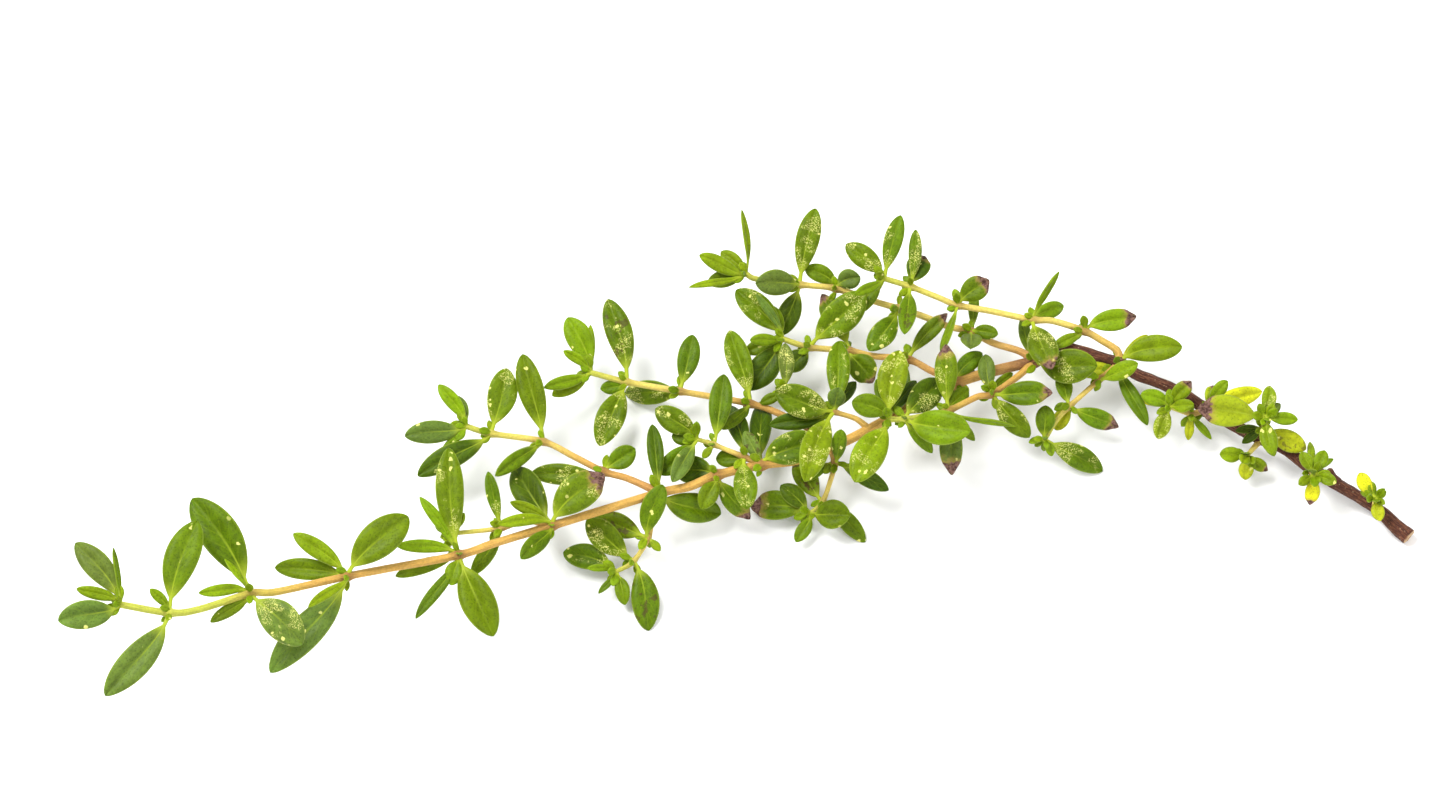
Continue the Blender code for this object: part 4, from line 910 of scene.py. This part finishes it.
def leaf_surface():
    g = Graph("leaf_surface")
    (along, across, under), (brown, blotch, speckle), tint = g.read()
    broad = g.noise(640.0, 4.0)
    fine = g.noise(2600.0, 3.0, roughness=0.6)
    glands = g.cells(3300.0)
    colour = leaf_green(g, tint, broad, fine, glands, along, g.math("ABSOLUTE", across), under)
    pale = pale_marks(g, along, speckle)
    colour = g.mix(g.product(pale, 0.85), colour, SPECKLE)
    # Brown blotches and dried tips, with a redder edge.
    stain = g.product(g.ramp(g.noise(1100.0, 4.0), 0.57, 0.62), blotch, g.ramp(along, 0.2, 0.4))
    colour = g.mix(g.product(stain, 0.9), colour, BLOTCH)
    wavy = g.add(along, g.product(g.less(g.noise(1300.0, 4.0), 0.5), 0.26))
    past_edge = g.less(wavy, g.less(1.0, g.product(brown, 0.19)))
    has_tip = g.ramp(brown, 0.0, 0.1)
    dried = g.product(g.ramp(past_edge, -0.02, 0.02), has_tip)
    edge = g.product(g.ramp(past_edge, -0.10, 0.0), has_tip)
    colour = g.mix(g.product(edge, 0.55), colour, DRIED_EDGE)
    colour = g.mix(dried, colour, g.mix(g.ramp(fine, 0.35, 0.65), DEAD_DARK, DEAD_LIGHT))
    rough = g.add(g.ramp(broad, 0.3, 0.7, 0.40, 0.52), g.product(under, 0.18))
    rough = g.add(rough, g.product(g.math("MAXIMUM", dried, pale), 0.22))
    g.shade(Base_Color=colour, Roughness=rough, Specular_IOR_Level=0.10, Sheen_Weight=0.01,
            Sheen_Roughness=0.45, Subsurface_Weight=0.10, Subsurface_Radius=(0.6, 1.0, 0.1),
            Subsurface_Scale=0.0005)
    pits = g.ramp(glands, 0.0, 0.35)
    quilt = g.noise(1100.0, 2.0)
    g.bump([(pits, 0.00004, 0.55), (quilt, 0.00014, 0.5), (dried, 0.0001, 0.4)])
    return g.material


def stem_surface():
    g = Graph("stem_surface")
    (along, round_x, round_y), (woody, cut, _), tint = g.read()
    around = g.node("ShaderNodeCombineXYZ", X=along, Y=round_x, Z=round_y)
    stretched = g.node("ShaderNodeMapping", Vector=around, Scale=(2.6, 2.4, 2.4))
    streaks = g.noise(2.4, 4.0, stretched, 0.6)
    threads = g.noise(7.0, 3.0, stretched, 0.55)
    grain = g.noise(3600.0, 3.0)
    colour = g.times(tint, g.ramp(streaks, 0.3, 0.7, 0.82, 1.16))
    colour = g.times(colour, g.ramp(grain, 0.3, 0.7, 0.90, 1.10))
    # Bark: dark cracks, paler flaking patches whose colour also paints in a highlight, and pale lenticels.
    cracks = g.product(g.ramp(threads, 0.54, 0.42), woody)
    flakes_and_highlight = g.product(g.ramp(streaks, 0.52, 0.68), woody)
    colour = g.mix(g.product(flakes_and_highlight, 0.70), colour, FLAKE_AND_HIGHLIGHT)
    colour = g.mix(g.product(cracks, 0.85), colour, CRACK)
    dots = g.product(g.ramp(g.cells(1500.0), 0.10, 0.16, 1.0, 0.0), woody)
    colour = g.mix(g.product(dots, 0.4), colour, LENTICEL)
    wood = g.mix(g.ramp(g.noise(2200.0, 3.0), 0.4, 0.6), WOOD_LIGHT, WOOD_DARK)
    colour = g.mix(cut, colour, wood)
    rough = g.add(g.ramp(streaks, 0.3, 0.7, 0.50, 0.62), g.product(woody, 0.22))
    g.shade(Base_Color=colour, Roughness=rough, Specular_IOR_Level=0.16, Sheen_Weight=0.04,
            Sheen_Roughness=0.5, Subsurface_Weight=0.08, Subsurface_Radius=(0.9, 0.8, 0.3),
            Subsurface_Scale=0.0004)
    g.bump([(threads, 0.00012, 0.6), (streaks, 0.0002, 0.5), (grain, 0.00005, 0.5)])
    return g.material


def floor_surface():
    g = Graph("floor_surface")
    g.shade(Base_Color=g.mix(g.noise(30.0), (0.90, 0.90, 0.90), (0.92, 0.92, 0.92)), Roughness=0.8)
    return g.material


MATERIALS = {"leaf": leaf_surface(), "stem": stem_surface()}
LINES = {line: Course(points, MAIN_STEP if line == "main" else STEP) for line, points in COURSES.items()}


def radii_of(line):
    return STEM_RADII.get(line) or (SHOOT_RADII if "shoot" in line else BRANCH_RADII)


def nodes_on(line):
    """Places of the leaf nodes along a stem, which are swollen."""
    points = {point for own, _, bands in LEAVES.values() if own == line for point, _ in bands}
    return [LINES[line].places[point] for point in sorted(points) if point < len(COURSES[line]) - 1]


def add_leaves(piece, line, bands):
    """The leaves at each of a course's nodes, with buds between them and a cluster of buds at its tip."""
    course = LINES[line]
    last = len(COURSES[line]) - 1
    for point, leaves in bands:
        place = course.places[point]
        centre = course.line[place]
        heading = course.headings[place]
        radius = float(taper(course.distance[place] / course.length, radii_of(line)))
        for dx, dy, dz, width, look, *rest in leaves:
            reach = np.array((dx, dy, dz))
            outward = reach - (reach @ heading) * heading
            outward = unit(outward) if np.linalg.norm(outward) > 0.3 else UPPER_SIDE
            start = centre + outward * radius * 0.35
            add_leaf(piece, start, outward, centre + reach, width, look, *rest)
        if point == last:
            add_buds(piece, centre, heading, radius * 0.6, 6, 2.3)
        else:
            add_buds(piece, centre, heading, radius, 4, 2.1)


def cut_end(piece):
    """The cut face of the main stem, slightly domed, with a ragged rim."""
    course = LINES["main"]
    centre = course.line[0]
    heading = course.headings[0]
    turns = 2 * np.pi * np.arange(MAIN_AROUND) / MAIN_AROUND
    side = square_to(UPPER_SIDE, heading[None])[0]
    front = np.cross(heading, side)
    rings = []
    for size, out in CUT_RINGS:
        ring = []
        for t in turns:
            ragged = 1 + 0.10 * noise.noise(Vector((3 * math.cos(t), 3 * math.sin(t), out)))
            radius = CUT_END_RADIUS * size * ragged
            stand = out + 0.09 * noise.noise(Vector((5 * math.cos(t), 5 * math.sin(t), size)))
            ring.append(centre - stand * heading + radius * (math.cos(t) * side + math.sin(t) * front))
        rings.append(ring)
    rings = np.array(rings)[:, ::-1]
    traits = np.zeros((len(rings), 1, 4))
    traits[:, 0, 1] = CUT_WOOD
    traits[0, 0, 0] = 1.0
    piece.loft(rings, rings * PLACE_PER_MM, np.array(BARK), traits, "stem")


def stub(piece):
    """The stub of a side twig that was cut short near the base."""
    add_stem(piece, Course(STUB_COURSE, STUB_STEP), STUB_RADII, STUB_COLOURS, [], STUB_AROUND, False)


for line, node in STEM_NODES.items():
    piece = Piece()
    is_main = line == "main"
    add_stem(piece, LINES[line], radii_of(line), STEM_COLOURS[line], nodes_on(line),
             MAIN_AROUND if is_main else BRANCH_AROUND, not is_main)
    if is_main:
        cut_end(piece)
        stub(piece)
    finish_piece(piece, node)

for node, (line, slot_name, bands) in LEAVES.items():
    piece = Piece()
    if node == line:
        add_stem(piece, LINES[line], SHOOT_RADII, SHOOT_COLOURS, nodes_on(line), SHOOT_AROUND)
    add_leaves(piece, line, bands)
    finish_piece(piece, node)


# The studio, in metres and degrees.
FLOOR_HALF = 3.0
FLOOR_GAP = 0.00002
WORLD_STRENGTH = 0.82
LAMPS = (
    ("key", (-0.35, 0.15, 0.75), 9.0, 0.4),
    ("fill", (0.45, -0.45, 0.60), 3.0, 0.5),
)
CAMERA_DISTANCE = 1.2
CAMERA_ELEVATION = 60.0
CAMERA_LENS = 239.2


def add_floor():
    mesh = bpy.data.meshes.new("floor")
    corners = [(-FLOOR_HALF, -FLOOR_HALF, 0), (FLOOR_HALF, -FLOOR_HALF, 0), (FLOOR_HALF, FLOOR_HALF, 0),
               (-FLOOR_HALF, FLOOR_HALF, 0)]
    mesh.from_pydata(corners, [], [(0, 1, 2, 3)])
    mesh.materials.append(floor_surface())
    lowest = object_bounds()[0].z
    floor = bpy.data.objects.new("floor", mesh)
    floor.location.z = lowest - FLOOR_GAP
    bpy.context.scene.collection.objects.link(floor)


def add_lights():
    """Soft light from all round, and two broad lamps above."""
    centre = (FRAME_BOUNDS[0] + FRAME_BOUNDS[1]) / 2
    world = bpy.data.worlds.new("studio")
    world.use_nodes = True
    background = world.node_tree.nodes["Background"]
    background.inputs[0].default_value = (1.0, 1.0, 1.0, 1.0)
    background.inputs[1].default_value = WORLD_STRENGTH
    bpy.context.scene.world = world
    for name, place, power, size in LAMPS:
        light = bpy.data.lights.new(name, "AREA")
        light.energy = power
        light.size = size
        lamp = bpy.data.objects.new(name, light)
        lamp.location = centre + Vector(place)
        lamp.rotation_euler = (centre - lamp.location).to_track_quat("-Z", "Y").to_euler()
        bpy.context.scene.collection.objects.link(lamp)


def add_camera():
    camera = bpy.data.cameras.new("camera")
    camera.sensor_width = 36.0
    camera.lens = CAMERA_LENS
    camera.clip_end = 20.0
    eye = bpy.data.objects.new("camera", camera)
    tilt = math.radians(CAMERA_ELEVATION)
    away = Vector((0.0, -math.cos(tilt), math.sin(tilt)))
    eye.location = Vector(FRAME_SHIFT) + CAMERA_DISTANCE * away
    eye.rotation_euler = (math.radians(90.0) - tilt, 0.0, 0.0)
    bpy.context.scene.collection.objects.link(eye)
    bpy.context.scene.camera = eye
    bpy.context.scene.view_settings.view_transform = "Standard"


add_floor()
add_lights()
add_camera()
